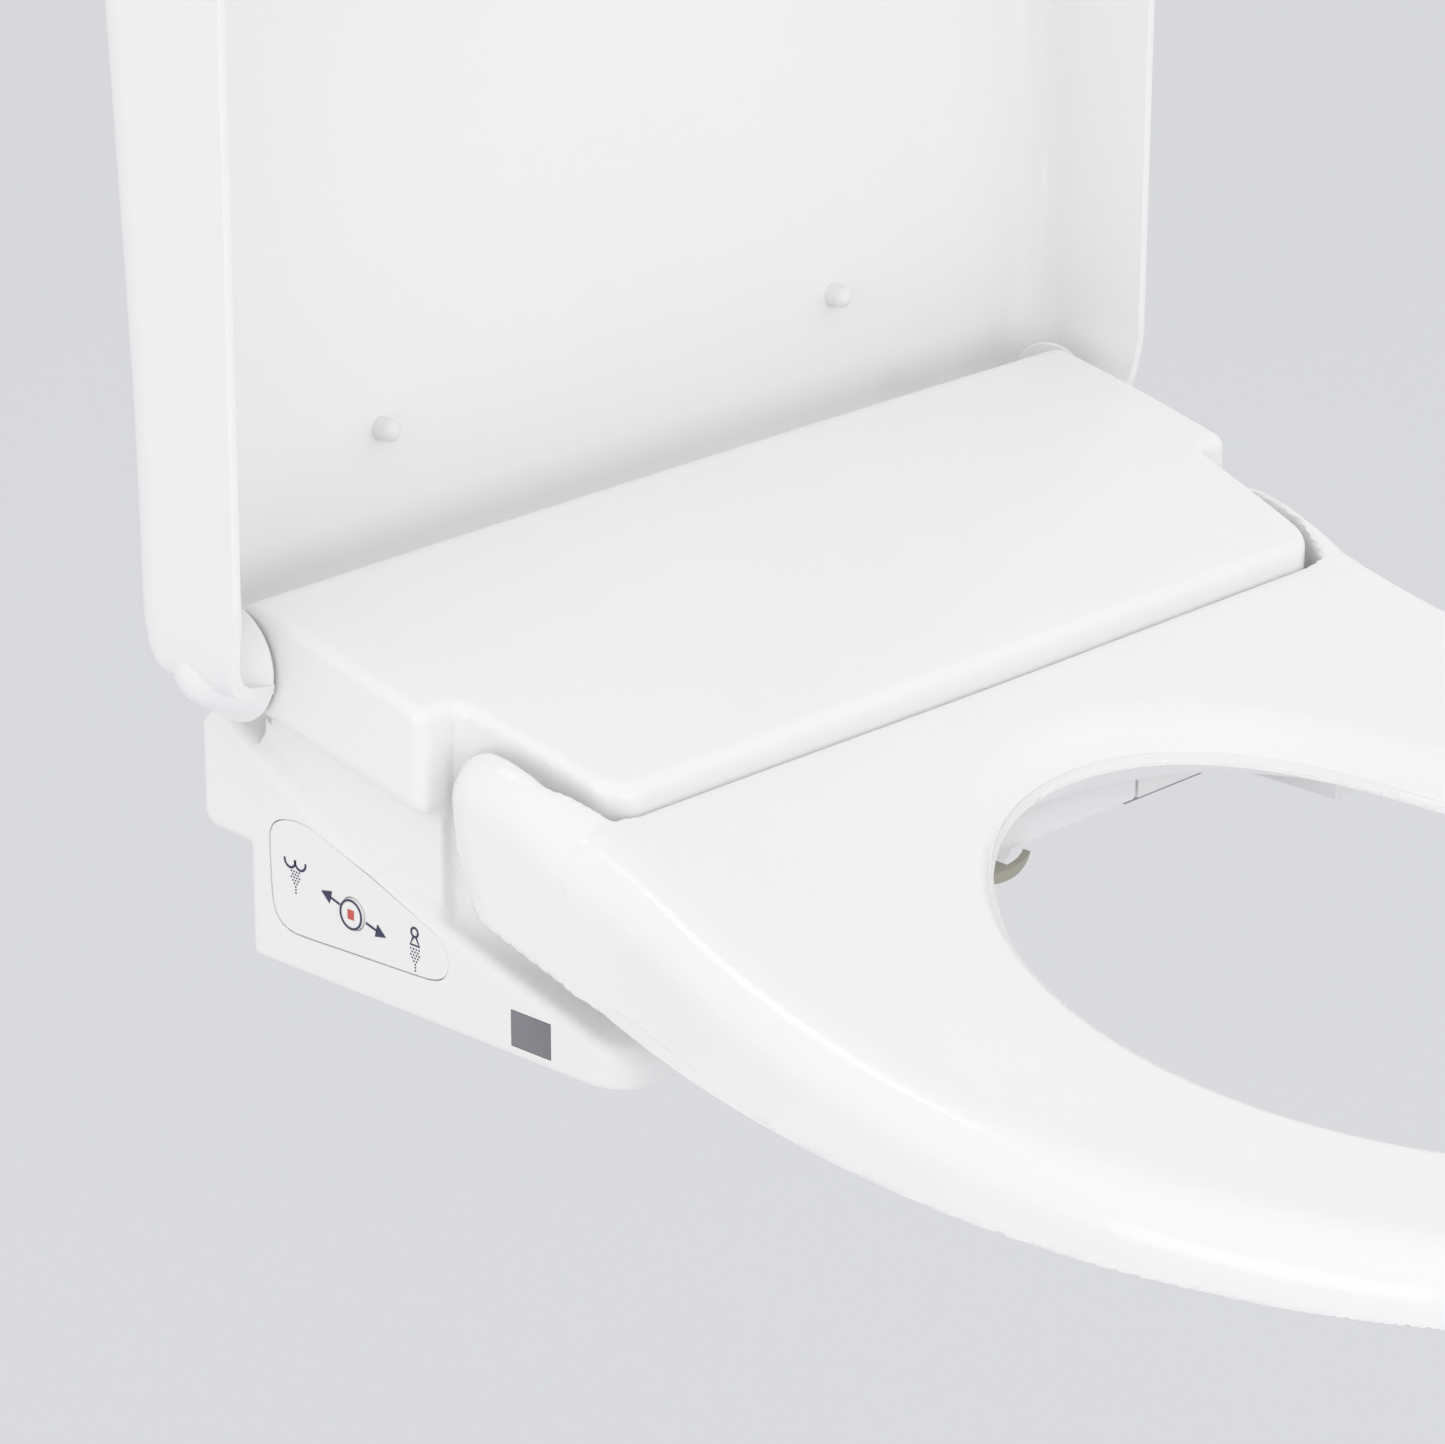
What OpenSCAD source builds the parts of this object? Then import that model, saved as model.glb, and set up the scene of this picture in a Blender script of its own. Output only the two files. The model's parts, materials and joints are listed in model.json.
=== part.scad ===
// Electric bidet seat: housing, seat ring, lid and the works inside.
// Millimetres. X runs across the seat, the front edge points to -Y, +Z is up.
// The underside stands on z = 0 and the origin lies midway between the mounting slots.
// Lengths called "fwd" are counted forwards from the lower rear edge of the housing, so
// that y = datum - fwd.

/* [Housing] */
// half width of the lower flanks
flank_hw = 174; // [172:0.5:176]
// half width of the shoulders of the top cover
shoulder_hw = 179; // [177:0.5:181]
// wall thickness of the housing mouldings
wall = 3; // [2.5:0.1:3.2]
// height of the deck at its rear edge
deck_rear_z = 113.2; // [112:0.1:113.4]

/* [Seat] */
// largest half width of the seat ring
ring_hw = 190; // [186:0.5:192]
// half width of the opening
hole_hw = 107; // [102:1:112]
// how far in front of the rear edge the seat ends
seat_front = 500; // [490:1:502]
// height of the seat at its front edge
seat_front_z = 28; // [26:0.5:30]

/* [Lid] */
// half width of the lid
lid_hw = 200; // [199:0.5:202]
// distance from hinge axis to the far end of the lid
lid_len = 508; // [507:1:514]
// wall thickness of the lid
lid_t = 3; // [2.5:0.1:3]

/* [Nozzles] */
// slope of the nozzle wands below the horizontal
wand_slope = 26; // [25:0.5:27]
// length of each nozzle wand
wand_len = 112; // [104:1:113]

/* [Fastening] */
// distance between the two mounting slots
bolt_spacing = 140; // [130:1:155]
// width of the mounting slots
slot_w = 13; // [11:0.5:14]

/* [Hidden] */
$fn = 48;
gap = 0.3;                       // air between pieces that only lie next to each other
fit = 0.05;                      // radial clearance of a running fit

datum = 45;                      // the mounting slots lie this far in front of the rear edge

// hinge axes
lid_fwd = 4;
lid_z = 94;
seat_fwd = 99;
seat_z = 71;
boss_r = 12;                     // sleeve round the lid hinge
pin_r = 4;
damper_r = 9;

// housing
side_wall_fwd = 80.5;            // front of the shoulders, where the coves begin
tongue_rear_hw = 164;            // the narrow front part of the cover, at its root
tongue_front_hw = 156;
tongue_fwd = 136;
cover_rear = 3;
lip_z = 74;                      // foot of the bevelled lip of the tongue
nose_fwd = 156;                  // front of the flanks under the seat
low_hw = 169;                    // half width of the cover below the shoulders
recess_hw = 146;                 // the underside is open in front between the two noses

// flank: its upper edge falls from the rear to the nose
ridge = [[0, 68], [20, 56], [53, 40], [100, 26.5], [150, 12.5]];
// deck: slightly rounded from rear to front
deck = [[3, 103], [3.6, 107], [5.8, 110.6], [9.5, deck_rear_z], [45, 105.8], [82, 96.6], [110, 88.8],
    [133.5, 81.5]];

// seat ring
ring_c = 258;                    // where the ring is widest
ring_rear = 138;                 // straight rear edge, just in front of the tongue
hole_c = 300.5;
hole_len = 131.5;
arm_in_rear = 166.5;             // the two arms that reach back to the hinge
arm_taper = 0.447;
arm_taper_fwd = [118, 137];
arm_out = 178;
arm_r = 16.5;
skin = 3;
lower_t = 4;
split_gap = 0.25;                 // between the two welded halves of the seat
foil_drop = 6.5;                 // the heating foil lies this far below the surface
foil_t = 0.6;

// lid, in its own frame: v away from the hinge, w from the back to the front
lid_rear = -6;
lid_rim = 23.5;
lid_back = -26;                  // outer face next to the hinge
lid_lean = 0.055;                // the walls get deeper away from the hinge
rim_lean = 0.008;
lid_round = 16;
lid_mid = 250;
wrap_rim = -14;                  // lower edge of the lid's rear wall between the knuckles
knuckle_r = 18;                  // the knuckles are domed discs inside the side walls
knuckle_end = 6.6;
knuckle_flat = 2;
knuckle_dome = 9.5;
knuckle_len = 18;
knuckle_in = 180.4;
pad_v = 47;                      // the lid's pads land on the deck
pad_x = 99;
pad_r = 3.6;
pad_h = 7.2;

// nozzles, along their own slope: distances are counted back from the resting tip
wand_r = 5.5;
wand_x = 12;
wand_fwd = 130;
wand_z = 11.5;
rack_flat = 4.3;
guard_fwd = 113;                 // middle of the curved guard in front of the wands
guard_r = 31;
guard_top = 15.6;
pinion_r = 5.5;
pinion_at = 14;

// places of the works inside
inlet_x = 140;
inlet_fwd = -12;
meter_x = 108;
line_fwd = 34;                   // the cold water runs across the housing here
line_z = 24;
hose_r = 2.9;
hose_bend = 5;
diverter_x = -74;
diverter_z = 60;
outlet_fwd = [89, 99];            // the two outlets of the diverter
outlet_z = 61;
blower_fwd = 46;
blower_z = 50;
fan_x = 132;
fan_fwd = 63;
flap_fwd = 134.2;
flap_z = 29;
flap_pin_r = 0.8;
gland_x = 110;
gland_z = 52;
drain_x = 60;
drain_fwd = 86;
release_fwd = 56;
release_z = 14;
screw_x = 158;
screw_fwd = [22, 70];
slot_run = 12;                   // the mounting slots are this much longer than wide

// controls on the right flank
panel_t = 3;
stop_fwd = 45.5;
stop_z = 25;
stop_r = 4.9;
window = [110.8, 126.5, 3, 14.2];

// ---------- helpers ----------
function backwards(list) = [for (i = [len(list) - 1:-1:0]) list[i]];

module box(x0, x1, f0, f1, z0, z1) translate([x0, datum - f1, z0]) cube([x1 - x0, f1 - f0, z1 - z0]);
module rod_x(x0, x1, fwd, z, r)
    translate([x0, datum - fwd, z]) rotate([0, 90, 0]) cylinder(r = r, h = x1 - x0);
module rod_y(f0, f1, x, z, r)
    translate([x, datum - f0, z]) rotate([90, 0, 0]) cylinder(r = r, h = f1 - f0);
module rod_z(x, fwd, z0, z1, r) translate([x, datum - fwd, z0]) cylinder(r = r, h = z1 - z0);
// a side view outline of [fwd, z] points, drawn out across the seat from x0 to x1
module across(x0, x1) translate([x1, datum, 0]) rotate([90, 0, -90]) linear_extrude(x1 - x0) children();
// a plan outline of [x, -fwd] points, drawn upwards
module upright(z0, z1) translate([0, datum, z0]) linear_extrude(z1 - z0) children();
module both_sides() { children(); mirror([1, 0, 0]) children(); }
module softened(r) offset(r = r, $fn = 32) offset(delta = -r) children();

// a closed skin over rings of equal length; ring k joins ring k + 1 and the last joins the first
module torus_skin(rings) {
    n = len(rings[0]);
    m = len(rings);
    points = [for (ring = rings) for (p = ring) p];
    faces = [for (k = [0:m - 1]) for (i = [0:n - 1])
        let(next = ((k + 1) % m) * n, a = k * n + i, b = k * n + (i + 1) % n, c = next + (i + 1) % n,
            d = next + i)
        each [[a, c, b], [a, d, c]]];
    polyhedron(points, faces);
}

// a closed skin over rings with a middle point at each end
module pan_skin(rings, first, last) {
    n = len(rings[0]);
    m = len(rings);
    points = concat([for (ring = rings) for (p = ring) p], [first, last]);
    bands = [for (k = [0:m - 2]) for (i = [0:n - 1])
        let(a = k * n + i, b = k * n + (i + 1) % n, c = (k + 1) * n + (i + 1) % n, d = (k + 1) * n + i)
        each [[a, c, b], [a, d, c]]];
    ends = [for (i = [0:n - 1]) each [[m * n, i, (i + 1) % n],
        [m * n + 1, (m - 1) * n + (i + 1) % n, (m - 1) * n + i]]];
    polyhedron(points, concat(bands, ends));
}

// ---------- housing ----------
module flank_side() softened(2) polygon(concat([[0, 0], [152, 0], [nose_fwd, 4], [nose_fwd, 8]],
    backwards(ridge), [[-8, 74], [-14, 74], [-20, 68], [-20, 39], [-17, 35], [0, 34]]));

module flank_plan(inset) offset(delta = -inset) softened(14) polygon([[-flank_hw, 30], [flank_hw, 30],
    [flank_hw, -nose_fwd], [-flank_hw, -nose_fwd]]);

module cover_low_plan(inset) offset(delta = -inset) softened(9) polygon([[-low_hw, -cover_rear],
    [low_hw, -cover_rear], [low_hw, -side_wall_fwd], [tongue_rear_hw, -side_wall_fwd - 2],
    [tongue_front_hw, -tongue_fwd], [-tongue_front_hw, -tongue_fwd],
    [-tongue_rear_hw, -side_wall_fwd - 2], [-low_hw, -side_wall_fwd]]);

module shoulder_plan(inset) offset(delta = -inset) softened(5) polygon([[-shoulder_hw, -cover_rear],
    [shoulder_hw, -cover_rear], [shoulder_hw, -side_wall_fwd], [-shoulder_hw, -side_wall_fwd]]);

module cover_side() polygon(concat(deck, [[tongue_fwd, lip_z], [tongue_fwd, ridge_z(tongue_fwd) + gap]],
    [for (i = [3:-1:1]) [ridge[i][0], ridge[i][1] + gap]], [[cover_rear, ridge_z(cover_rear) + gap]]));
module shoulder_side() polygon(concat([for (i = [0:4]) deck[i]], [[side_wall_fwd, 97], [side_wall_fwd, 63],
    [cover_rear, 80]]));
function ridge_z(fwd) = lookup(fwd, ridge);

module base_tray() color("ivory") difference() {
    union() {
        intersection() {
            difference() {
                across(-flank_hw, flank_hw) flank_side();
                intersection() {
                    across(wall - flank_hw, flank_hw - wall) offset(delta = -wall) flank_side();
                    upright(-1, 90) flank_plan(wall);
                }
            }
            upright(-1, 90) flank_plan(0);
        }
        // inner walls at the noses
        both_sides() box(recess_hw, recess_hw + wall, 96, 154, 0.5, 13);
        // bosses that carry the screws of the cover
        both_sides() for (f = screw_fwd) rod_z(screw_x, f, 1, 30, 5);
        // stiffening round the mounting plate
        both_sides() box(101.5, 104.5, 3, 74, 1, 11);
        box(-104.5, 104.5, 71.5, 74.5, 1, 11);
        box(-104.5, 104.5, 3, 74.5, 8, 11);
    }
    // opening under the cover
    upright(20, 90) offset(delta = -9) polygon([[-low_hw, -cover_rear], [low_hw, -cover_rear],
        [low_hw, -side_wall_fwd], [tongue_front_hw, -tongue_fwd], [-tongue_front_hw, -tongue_fwd],
        [-low_hw, -side_wall_fwd]]);
    // open underside in front for the nozzles and the warm air
    box(-recess_hw, recess_hw, 98, 160, -1, 40);
    // way of the mounting plate
    box(-101.5, 101.5, -1, 71.5, -1, 8);
    // control panel, sensor window, release button, filter slot
    across(-flank_hw - 1, -flank_hw + 5) panel_outline(0);
    box(-flank_hw - 1, -flank_hw + 5, window[0] - 0.1, window[1] + 0.1, window[2] + 0.4, window[3] + 0.1);
    rod_x(flank_hw - 5, flank_hw + 1, release_fwd, release_z, 7.4);
    box(flank_hw - 5, flank_hw + 1, 85.5, 126.5, 2.9, 15.1);
    // gland, drain, inlet
    rod_y(-25, 2, gland_x, gland_z, 7.05);
    rod_z(drain_x, drain_fwd, -1, 5, 6.05);
    rod_z(inlet_x, inlet_fwd, 30, 50, 6.55);
    both_sides() for (f = screw_fwd) rod_z(screw_x, f, -1, 31, 2.05);
    both_sides() for (f = screw_fwd) rod_z(screw_x, f, -1, 6, 4.2);
}

module top_cover() color("white") difference() {
    union() {
        intersection() {
            across(-low_hw, low_hw) softened(1.5) cover_side();
            upright(0, 130) cover_low_plan(0);
        }
        intersection() {
            across(-shoulder_hw, shoulder_hw) softened(1.5) shoulder_side();
            upright(0, 130) shoulder_plan(0);
        }
        both_sides() rod_x(150, shoulder_hw, lid_fwd, lid_z, boss_r);
        both_sides() rod_x(126, tongue_rear_hw - 3.2, seat_fwd, seat_z, boss_r);
    }
    difference() {
        union() {
            intersection() {
                across(wall - low_hw, low_hw - wall) cavity_side();
                upright(-1, 130) cover_low_plan(wall);
            }
            intersection() {
                across(wall - shoulder_hw, shoulder_hw - wall) offset(delta = -wall) shoulder_side();
                upright(-1, 130) shoulder_plan(wall);
            }
        }
        both_sides() rod_x(150, shoulder_hw, lid_fwd, lid_z, boss_r);
        both_sides() rod_x(126, 170, seat_fwd, seat_z, boss_r);
    }
    // hinge bores: a plain pin on one side, a damper on the other
    rod_x(-185, -149, lid_fwd, lid_z, pin_r + fit);
    rod_x(149, 185, lid_fwd, lid_z, damper_r);
    rod_x(125, 170, seat_fwd, seat_z, pin_r + fit);
    rod_x(-158, -125, seat_fwd, seat_z, damper_r);
    rod_x(-170, -157, seat_fwd, seat_z, pin_r + gap);
    // dryer outlet, with the holes of the flap's pin
    box(70, 107, 130, 140, 10, 31.5);
    rod_x(67.8, 109.2, flap_fwd, flap_z, flap_pin_r + fit);
}
module cavity_side() polygon(concat([[6, 102], [9, 108]],
    [for (i = [3:7]) [min(deck[i][0], 132), deck[i][1] - wall - 0.3]],
    [[133, lip_z - 2], [133, 5], [cover_rear + wall, 5]]));

module housing_screws() color("silver") both_sides() for (f = screw_fwd) {
    rod_z(screw_x, f, 3.5, 24, 2);
    rod_z(screw_x, f, 1.5, 3.5, 3.9);
}

// ---------- controls ----------
// outline of the rocker on the flank, in [fwd, z]
module panel_outline(grow) offset(r = grow) softened(6) polygon([[10, 45.5], [28, 47.8], [85.5, 27.3],
    [85.5, 13.5], [14, 11]]);
module control_rocker() color("white") difference() {
    union() {
        across(-flank_hw, -flank_hw + panel_t) panel_outline(-0.7);
        for (z = [17, 33]) rod_z(-flank_hw + panel_t + 2.4, stop_fwd, z - 4, z + 4, 2.4);
    }
    rod_x(-flank_hw - 1, -flank_hw + 9, stop_fwd, stop_z, stop_r + fit + 0.15);
    rod_z(-flank_hw + panel_t + 2.4, stop_fwd, 8, 60, 1 + fit);
}
module rocker_pivots() color("silver") {
    for (z = [11.5, 30]) rod_z(-flank_hw + panel_t + 2.4, stop_fwd, z, z + 8, 1);
}
module stop_button() color("white") {
    rod_x(-flank_hw - 0.8, -flank_hw + 6, stop_fwd, stop_z, stop_r);
    rod_x(-flank_hw + 9.2, -flank_hw + 10.8, stop_fwd, stop_z, stop_r + 2);
    rod_x(-flank_hw + 5, -flank_hw + 10, stop_fwd, stop_z, 2);
}
module sensor_window() color("dimgray")
    box(-flank_hw, -flank_hw + 2.6, window[0], window[1], window[2] + 0.5, window[3]);
module ir_receiver() color("black") {
    box(-flank_hw + 4, -flank_hw + 8, 114.5, 122.5, 5, 12.5);
    box(-flank_hw + 8, -flank_hw + 9.6, 108, 129, 3.5, 14);
}
module release_button() color("white") {
    rod_x(flank_hw - 7, flank_hw + 0.6, release_fwd, release_z, 7);
    rod_x(flank_hw - 9, flank_hw - 7, release_fwd, release_z, 8.6);
    rod_x(flank_hw - 22, flank_hw - 9, release_fwd, release_z, 2.4);
}
module release_spring() color("silver") for (i = [0:4])
    translate([flank_hw - 21 + 2 * i, datum - release_fwd, release_z]) rotate([0, 90, 0])
        rotate_extrude() translate([4.6, 0]) circle(r = 0.6, $fn = 16);

// ---------- electronics ----------
module main_board() color("green") {
    box(-149, -147.4, 12, 76, 10, 60);
    box(-147.4, -143, 20, 32, 20, 32);
    box(-147.4, -144, 40, 54, 34, 48);
    for (f = [16, 30, 44, 58]) box(-147.4, -140, f, f + 9, 51, 58);
    for (f = [62, 70]) rod_x(-147.4, -139, f, 20, 3);
}
module power_board() color("green") {
    box(-112, -46, 14, 74, 80, 81.6);
    box(-108, -88, 18, 38, 81.6, 92);
    box(-84, -70, 18, 32, 81.6, 91);
    for (f = [44, 58]) rod_z(-100, f, 81.6, 90, 4.5);
    box(-64, -50, 40, 60, 81.6, 90);
}
module cord_gland() color("ivory") difference() {
    union() {
        rod_y(-23, -20.1, gland_x, gland_z, 10);
        rod_y(-20.1, -12, gland_x, gland_z, 7);
    }
    rod_y(-25, 1, gland_x, gland_z, 3.8);
}
module drain_plug() color("gray") {
    rod_z(drain_x, drain_fwd, 0.4, 3.2, 6);
    rod_z(drain_x, drain_fwd, 3.2, 5, 8.5);
}
module mounting_plate() color("white") difference() {
    union() {
        box(-100, 100, 20, 70, 0, 4);
        box(-100, -80, 20, 70, 4, 7.5);
        box(80, 100, 20, 70, 4, 7.5);
    }
    both_sides() {
        for (dx = [-slot_run / 2, slot_run / 2])
            rod_z(bolt_spacing / 2 + dx, datum, -1, 9, slot_w / 2);
        box((bolt_spacing - slot_run) / 2, (bolt_spacing + slot_run) / 2,
            datum - slot_w / 2, datum + slot_w / 2, -1, 9);
    }
}

// ---------- water ----------
module inlet_fitting() color("goldenrod") difference() {
    union() {
        rod_z(inlet_x, inlet_fwd, 6, 31.5, 10.45);
        rod_z(inlet_x, inlet_fwd, 31.5, 33.7, 11);
        rod_z(inlet_x, inlet_fwd, 33.7, 48, 6.5);
    }
    rod_z(inlet_x, inlet_fwd, 5, 26, 7.5);
    rod_z(inlet_x, inlet_fwd, 25, 49, 4);
}
module inlet_strainer() color("gray") difference() {
    union() {
        rod_z(inlet_x, inlet_fwd, 9, 11, 7.2);
        rod_z(inlet_x, inlet_fwd, 11, 24, 5.5);
    }
    rod_z(inlet_x, inlet_fwd, 8, 22.5, 4.3);
    for (z = [13, 17, 21]) for (a = [0, 60, 120])
        translate([inlet_x, datum - inlet_fwd, z]) rotate([0, 90, a])
            cylinder(r = 1, h = 20, center = true);
}
module solenoid_valve() color("white") difference() {
    union() {
        box(124, 152, 16, 42, 14, 34);
        rod_z(138, 29, 34, 56, 10);
        rod_y(14, 16, inlet_x, line_z, 5);
        rod_x(118.8, 124, line_fwd, line_z, 5);
    }
    rod_y(13, 22, inlet_x, line_z, 3.2);
    rod_x(118, 130, line_fwd, line_z, 3.2);
}
module flow_sensor() color("white") difference() {
    union() {
        rod_x(114, 118.6, line_fwd, line_z, 5);
        rod_z(meter_x, line_fwd, 12, 36, 10.5);
        rod_z(meter_x, line_fwd, 36, 42, 4.5);
    }
    rod_x(112, 119, line_fwd, line_z, 3.2);
    rod_z(meter_x, line_fwd, 14.5, 33.5, 8.5);
    rod_z(meter_x, line_fwd, 33, 43, 3.2);
}
module flow_rotor() color("black") {
    rod_z(meter_x, line_fwd, 15, 33, 2.4);
    for (a = [0:60:300]) translate([meter_x, datum - line_fwd, 17]) rotate([0, 0, a])
        translate([1, -0.6, 0]) cube([6.6, 1.2, 14]);
}
module water_heater() color("silver") difference() {
    union() {
        translate([-108, datum - 72, 12]) linear_extrude(60) softened(5) square([56, 54]);
        rod_x(-113, -108, line_fwd, line_z, 5);
        rod_y(72, 77, diverter_x, diverter_z, 4.5);
    }
    translate([-104, datum - 68, 16]) linear_extrude(52) softened(3) square([48, 46]);
    rod_x(-114, -100, line_fwd, line_z, 3.2);
    rod_y(66, 78, diverter_x, diverter_z, 2);
}
module diverter_valve() color("white") difference() {
    union() {
        rod_y(84, 104, diverter_x, diverter_z, 11);
        rod_y(104, 122, diverter_x, diverter_z, 8);
        for (f = outlet_fwd) rod_x(-66, -56, f, outlet_z, 3.5);
    }
    rod_y(83, 90, diverter_x, diverter_z, 2);
    for (f = outlet_fwd) rod_x(-68, -55, f, outlet_z, 2.2);
}
// a hose through the given points [x, fwd, z]: straight runs joined by round bends
function place(p) = [p[0], datum - p[1], p[2]];
function unit(v) = v / norm(v);
// length that a bend takes away from the two runs it joins
function bend_run(path, i, bend) = i == 0 || i == len(path) - 1 ? 0
    : let(p = place(path[i]), d1 = unit(p - place(path[i - 1])), d2 = unit(place(path[i + 1]) - p))
        bend * tan(acos(d1 * d2) / 2);
module hose(path, r, bend) {
    for (i = [0:len(path) - 2]) {
        a = place(path[i]);
        b = place(path[i + 1]);
        d = unit(b - a);
        a_cut = a + d * bend_run(path, i, bend);
        run = norm(b - a) - bend_run(path, i, bend) - bend_run(path, i + 1, bend);
        translate(a_cut) rotate([0, acos(d[2]), atan2(d[1], d[0])]) cylinder(r = r, h = run);
    }
    for (i = [1:len(path) - 2]) {
        p = place(path[i]);
        d1 = unit(p - place(path[i - 1]));
        d2 = unit(place(path[i + 1]) - p);
        up = unit(cross(d1, d2));
        side = cross(d1, up);
        c = p - d1 * bend_run(path, i, bend) - side * bend;
        multmatrix([[side[0], d1[0], up[0], c[0]], [side[1], d1[1], up[1], c[1]],
            [side[2], d1[2], up[2], c[2]]])
            rotate_extrude(angle = acos(d1 * d2)) translate([bend, 0]) circle(r = r);
    }
}
module supply_hoses() color("whitesmoke") {
    hose([[inlet_x, inlet_fwd, 48.3], [inlet_x, inlet_fwd, 56], [inlet_x, 7.5, 56], [inlet_x, 7.5, line_z],
        [inlet_x, 13.7, line_z]], hose_r, hose_bend);
    hose([[meter_x, line_fwd, 42.3], [meter_x, line_fwd, 97], [-122, line_fwd, 97],
        [-122, line_fwd, line_z], [-113.3, line_fwd, line_z]], hose_r, hose_bend);
    rod_y(77.3, 83.7, diverter_x, diverter_z, 1.8);
}
// the hoses of the two wands end just behind them
module nozzle_hoses() color("whitesmoke") {
    hose([[-55.8, outlet_fwd[1], outlet_z], [-30, outlet_fwd[1], outlet_z], [-30, 22.5, outlet_z],
        [-wand_x, 22.5, outlet_z], [-wand_x, 27.5, outlet_z]], 2, 4);
    hose([[-55.8, outlet_fwd[0], outlet_z], [-40, outlet_fwd[0], outlet_z], [-40, 16, outlet_z],
        [wand_x, 16, outlet_z], [wand_x, 27.5, outlet_z]], 2, 4);
}

// ---------- nozzles ----------
// frame of the wands: x across, y back along the slope, z square to it
module inclined() translate([0, datum - wand_fwd, wand_z]) rotate([wand_slope, 0, 0]) children();
module bar(x, y0, y1, z, r) translate([x, y0, z]) rotate([-90, 0, 0]) cylinder(r = r, h = y1 - y0);

module nozzle_housing() color("white") difference() {
    union() {
        inclined() translate([-22, 4, -8.5]) cube([44, wand_len - 6, 18]);
        // feet down to the floor of the tray
        both_sides() box(16, 21, 80, 94, 3.2, 30);
        both_sides() box(16, 21, 44, 60, 11.2, 44);
        // brackets for the two motors
        inclined() translate([-24, 6.8, 0]) cube([48, 16, 17.5]);
    }
    inclined() {
        for (x = [-wand_x, wand_x]) bar(x, -20, wand_len + 20, 0, wand_r + fit);
        for (x = [-wand_x, wand_x]) translate([x - 4.2, pinion_at - 7, 0]) cube([8.4, 14, 30]);
        translate([-30, pinion_at, rack_flat + pinion_r + gap]) rotate([0, 90, 0])
            cylinder(r = 1.6, h = 60);
    }
}
module wand(x) difference() {
    inclined() union() {
        bar(x, 0, wand_len, 0, wand_r);
    }
    inclined() {
        translate([x - 6, 8, rack_flat]) cube([12, wand_len, 4]);
        for (i = [0:33]) translate([x - 6, 10 + 3 * i, rack_flat - 1]) cube([12, 1.4, 4]);
        bar(x, 4, wand_len + 1, -1, 1.8);
        translate([x, 3.4, -1]) cylinder(r = 0.7, h = 10);
        for (dx = [-2, 2]) translate([x + dx, 3.4, -1]) cylinder(r = 0.45, h = 10);
        translate([x, 3.4, -1]) rotate([0, 90, 0]) cylinder(r = 0.9, h = 4.8, center = true);
    }
}
module rear_nozzle() color("white") wand(-wand_x);
module front_nozzle() color("white") wand(wand_x);
module drive_gear(x) inclined() translate([x, pinion_at, rack_flat + pinion_r + gap]) rotate([0, 90, 0]) {
    difference() {
        cylinder(r = pinion_r, h = 7, center = true);
        for (a = [0:30:330]) rotate([0, 0, a]) translate([pinion_r - 1, -0.7, -5]) cube([3, 1.4, 10]);
    }
    mirror([0, 0, x < 0 ? 0 : 1]) translate([0, 0, -12.8]) cylinder(r = 1.5, h = 10);
}
module rear_pinion() color("white") drive_gear(-wand_x);
module front_pinion() color("white") drive_gear(wand_x);
module drive_motor(side) inclined() translate([side * 25.2, pinion_at, rack_flat + pinion_r + gap])
    rotate([0, side * 90, 0]) {
        cylinder(r = 8, h = 14);
        translate([-4, 7, 2]) cube([8, 5, 8]);
    }
module rear_motor() color("silver") drive_motor(-1);
module front_motor() color("silver") drive_motor(1);
// a shallow crescent in front of the wands, held by a web that runs back between them
module nozzle_guard() color("darkkhaki") {
    intersection() {
        difference() {
            rod_z(0, guard_fwd, 8, guard_top, guard_r);
            rod_z(0, guard_fwd, 7, guard_top + 1, guard_r - 2.5);
        }
        rod_y(guard_fwd, guard_fwd + guard_r + 1, 0, guard_top + 36.4, 40);
    }
    box(-3.5, 3.5, 127.8, guard_fwd + guard_r - 1, guard_top - 3, guard_top);
}

// ---------- dryer and deodoriser ----------
module blower_housing() color("gray") difference() {
    union() {
        rod_x(68, 94, blower_fwd, blower_z, 33);
        box(70, 92, blower_fwd, 78.8, 14, 40);
    }
    rod_x(70, 92, blower_fwd, blower_z, 31);
    box(71.5, 90.5, 50, 80, 16, 32);
    rod_x(91, 95, blower_fwd, blower_z, 17);
    rod_x(67, 71, blower_fwd, blower_z, 3);
}
module blower_impeller() color("black") {
    rod_x(72, 73.5, blower_fwd, blower_z, 26);
    rod_x(72, 88, blower_fwd, blower_z, 5);
    for (a = [0:20:340]) translate([73.4, datum - blower_fwd, blower_z]) rotate([a, 0, 0])
        translate([0, -0.6, 19]) cube([16, 1.2, 6.5]);
    rod_x(64, 72.5, blower_fwd, blower_z, 2);
}
module blower_motor() color("silver") difference() {
    rod_x(44, 67.7, blower_fwd, blower_z, 14);
    rod_x(62, 68, blower_fwd, blower_z, 2 + fit);
}
module dryer_duct() color("gray") difference() {
    box(69.5, 107.5, 79.2, 131.8, 14, 34);
    box(71.5, 105.5, 81, 134, 16, 32);
    box(71.5, 90.5, 78, 82, 16, 32);
}
module dryer_heater() color("silver") {
    for (z = [19:3.5:30]) box(72.5, 104.5, 96, 112, z, z + 1);
    for (x = [75, 88, 101]) box(x, x + 1.5, 96, 112, 16.3, 31.7);
}
module dryer_flap() color("ivory") difference() {
    union() {
        box(71, 106, 133.6, 135.8, 16.9, flap_z);
        rod_x(71, 106, flap_fwd, flap_z, 1.9);
    }
    rod_x(70, 107, flap_fwd, flap_z, flap_pin_r + fit);
}
module flap_pin() color("silver") rod_x(68, 109, flap_fwd, flap_z, flap_pin_r);
module fan_frame() color("black") difference() {
    rod_z(fan_x, fan_fwd, 3.2, 16, 15);
    rod_z(fan_x, fan_fwd, 5, 17, 13.5);
}
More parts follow.
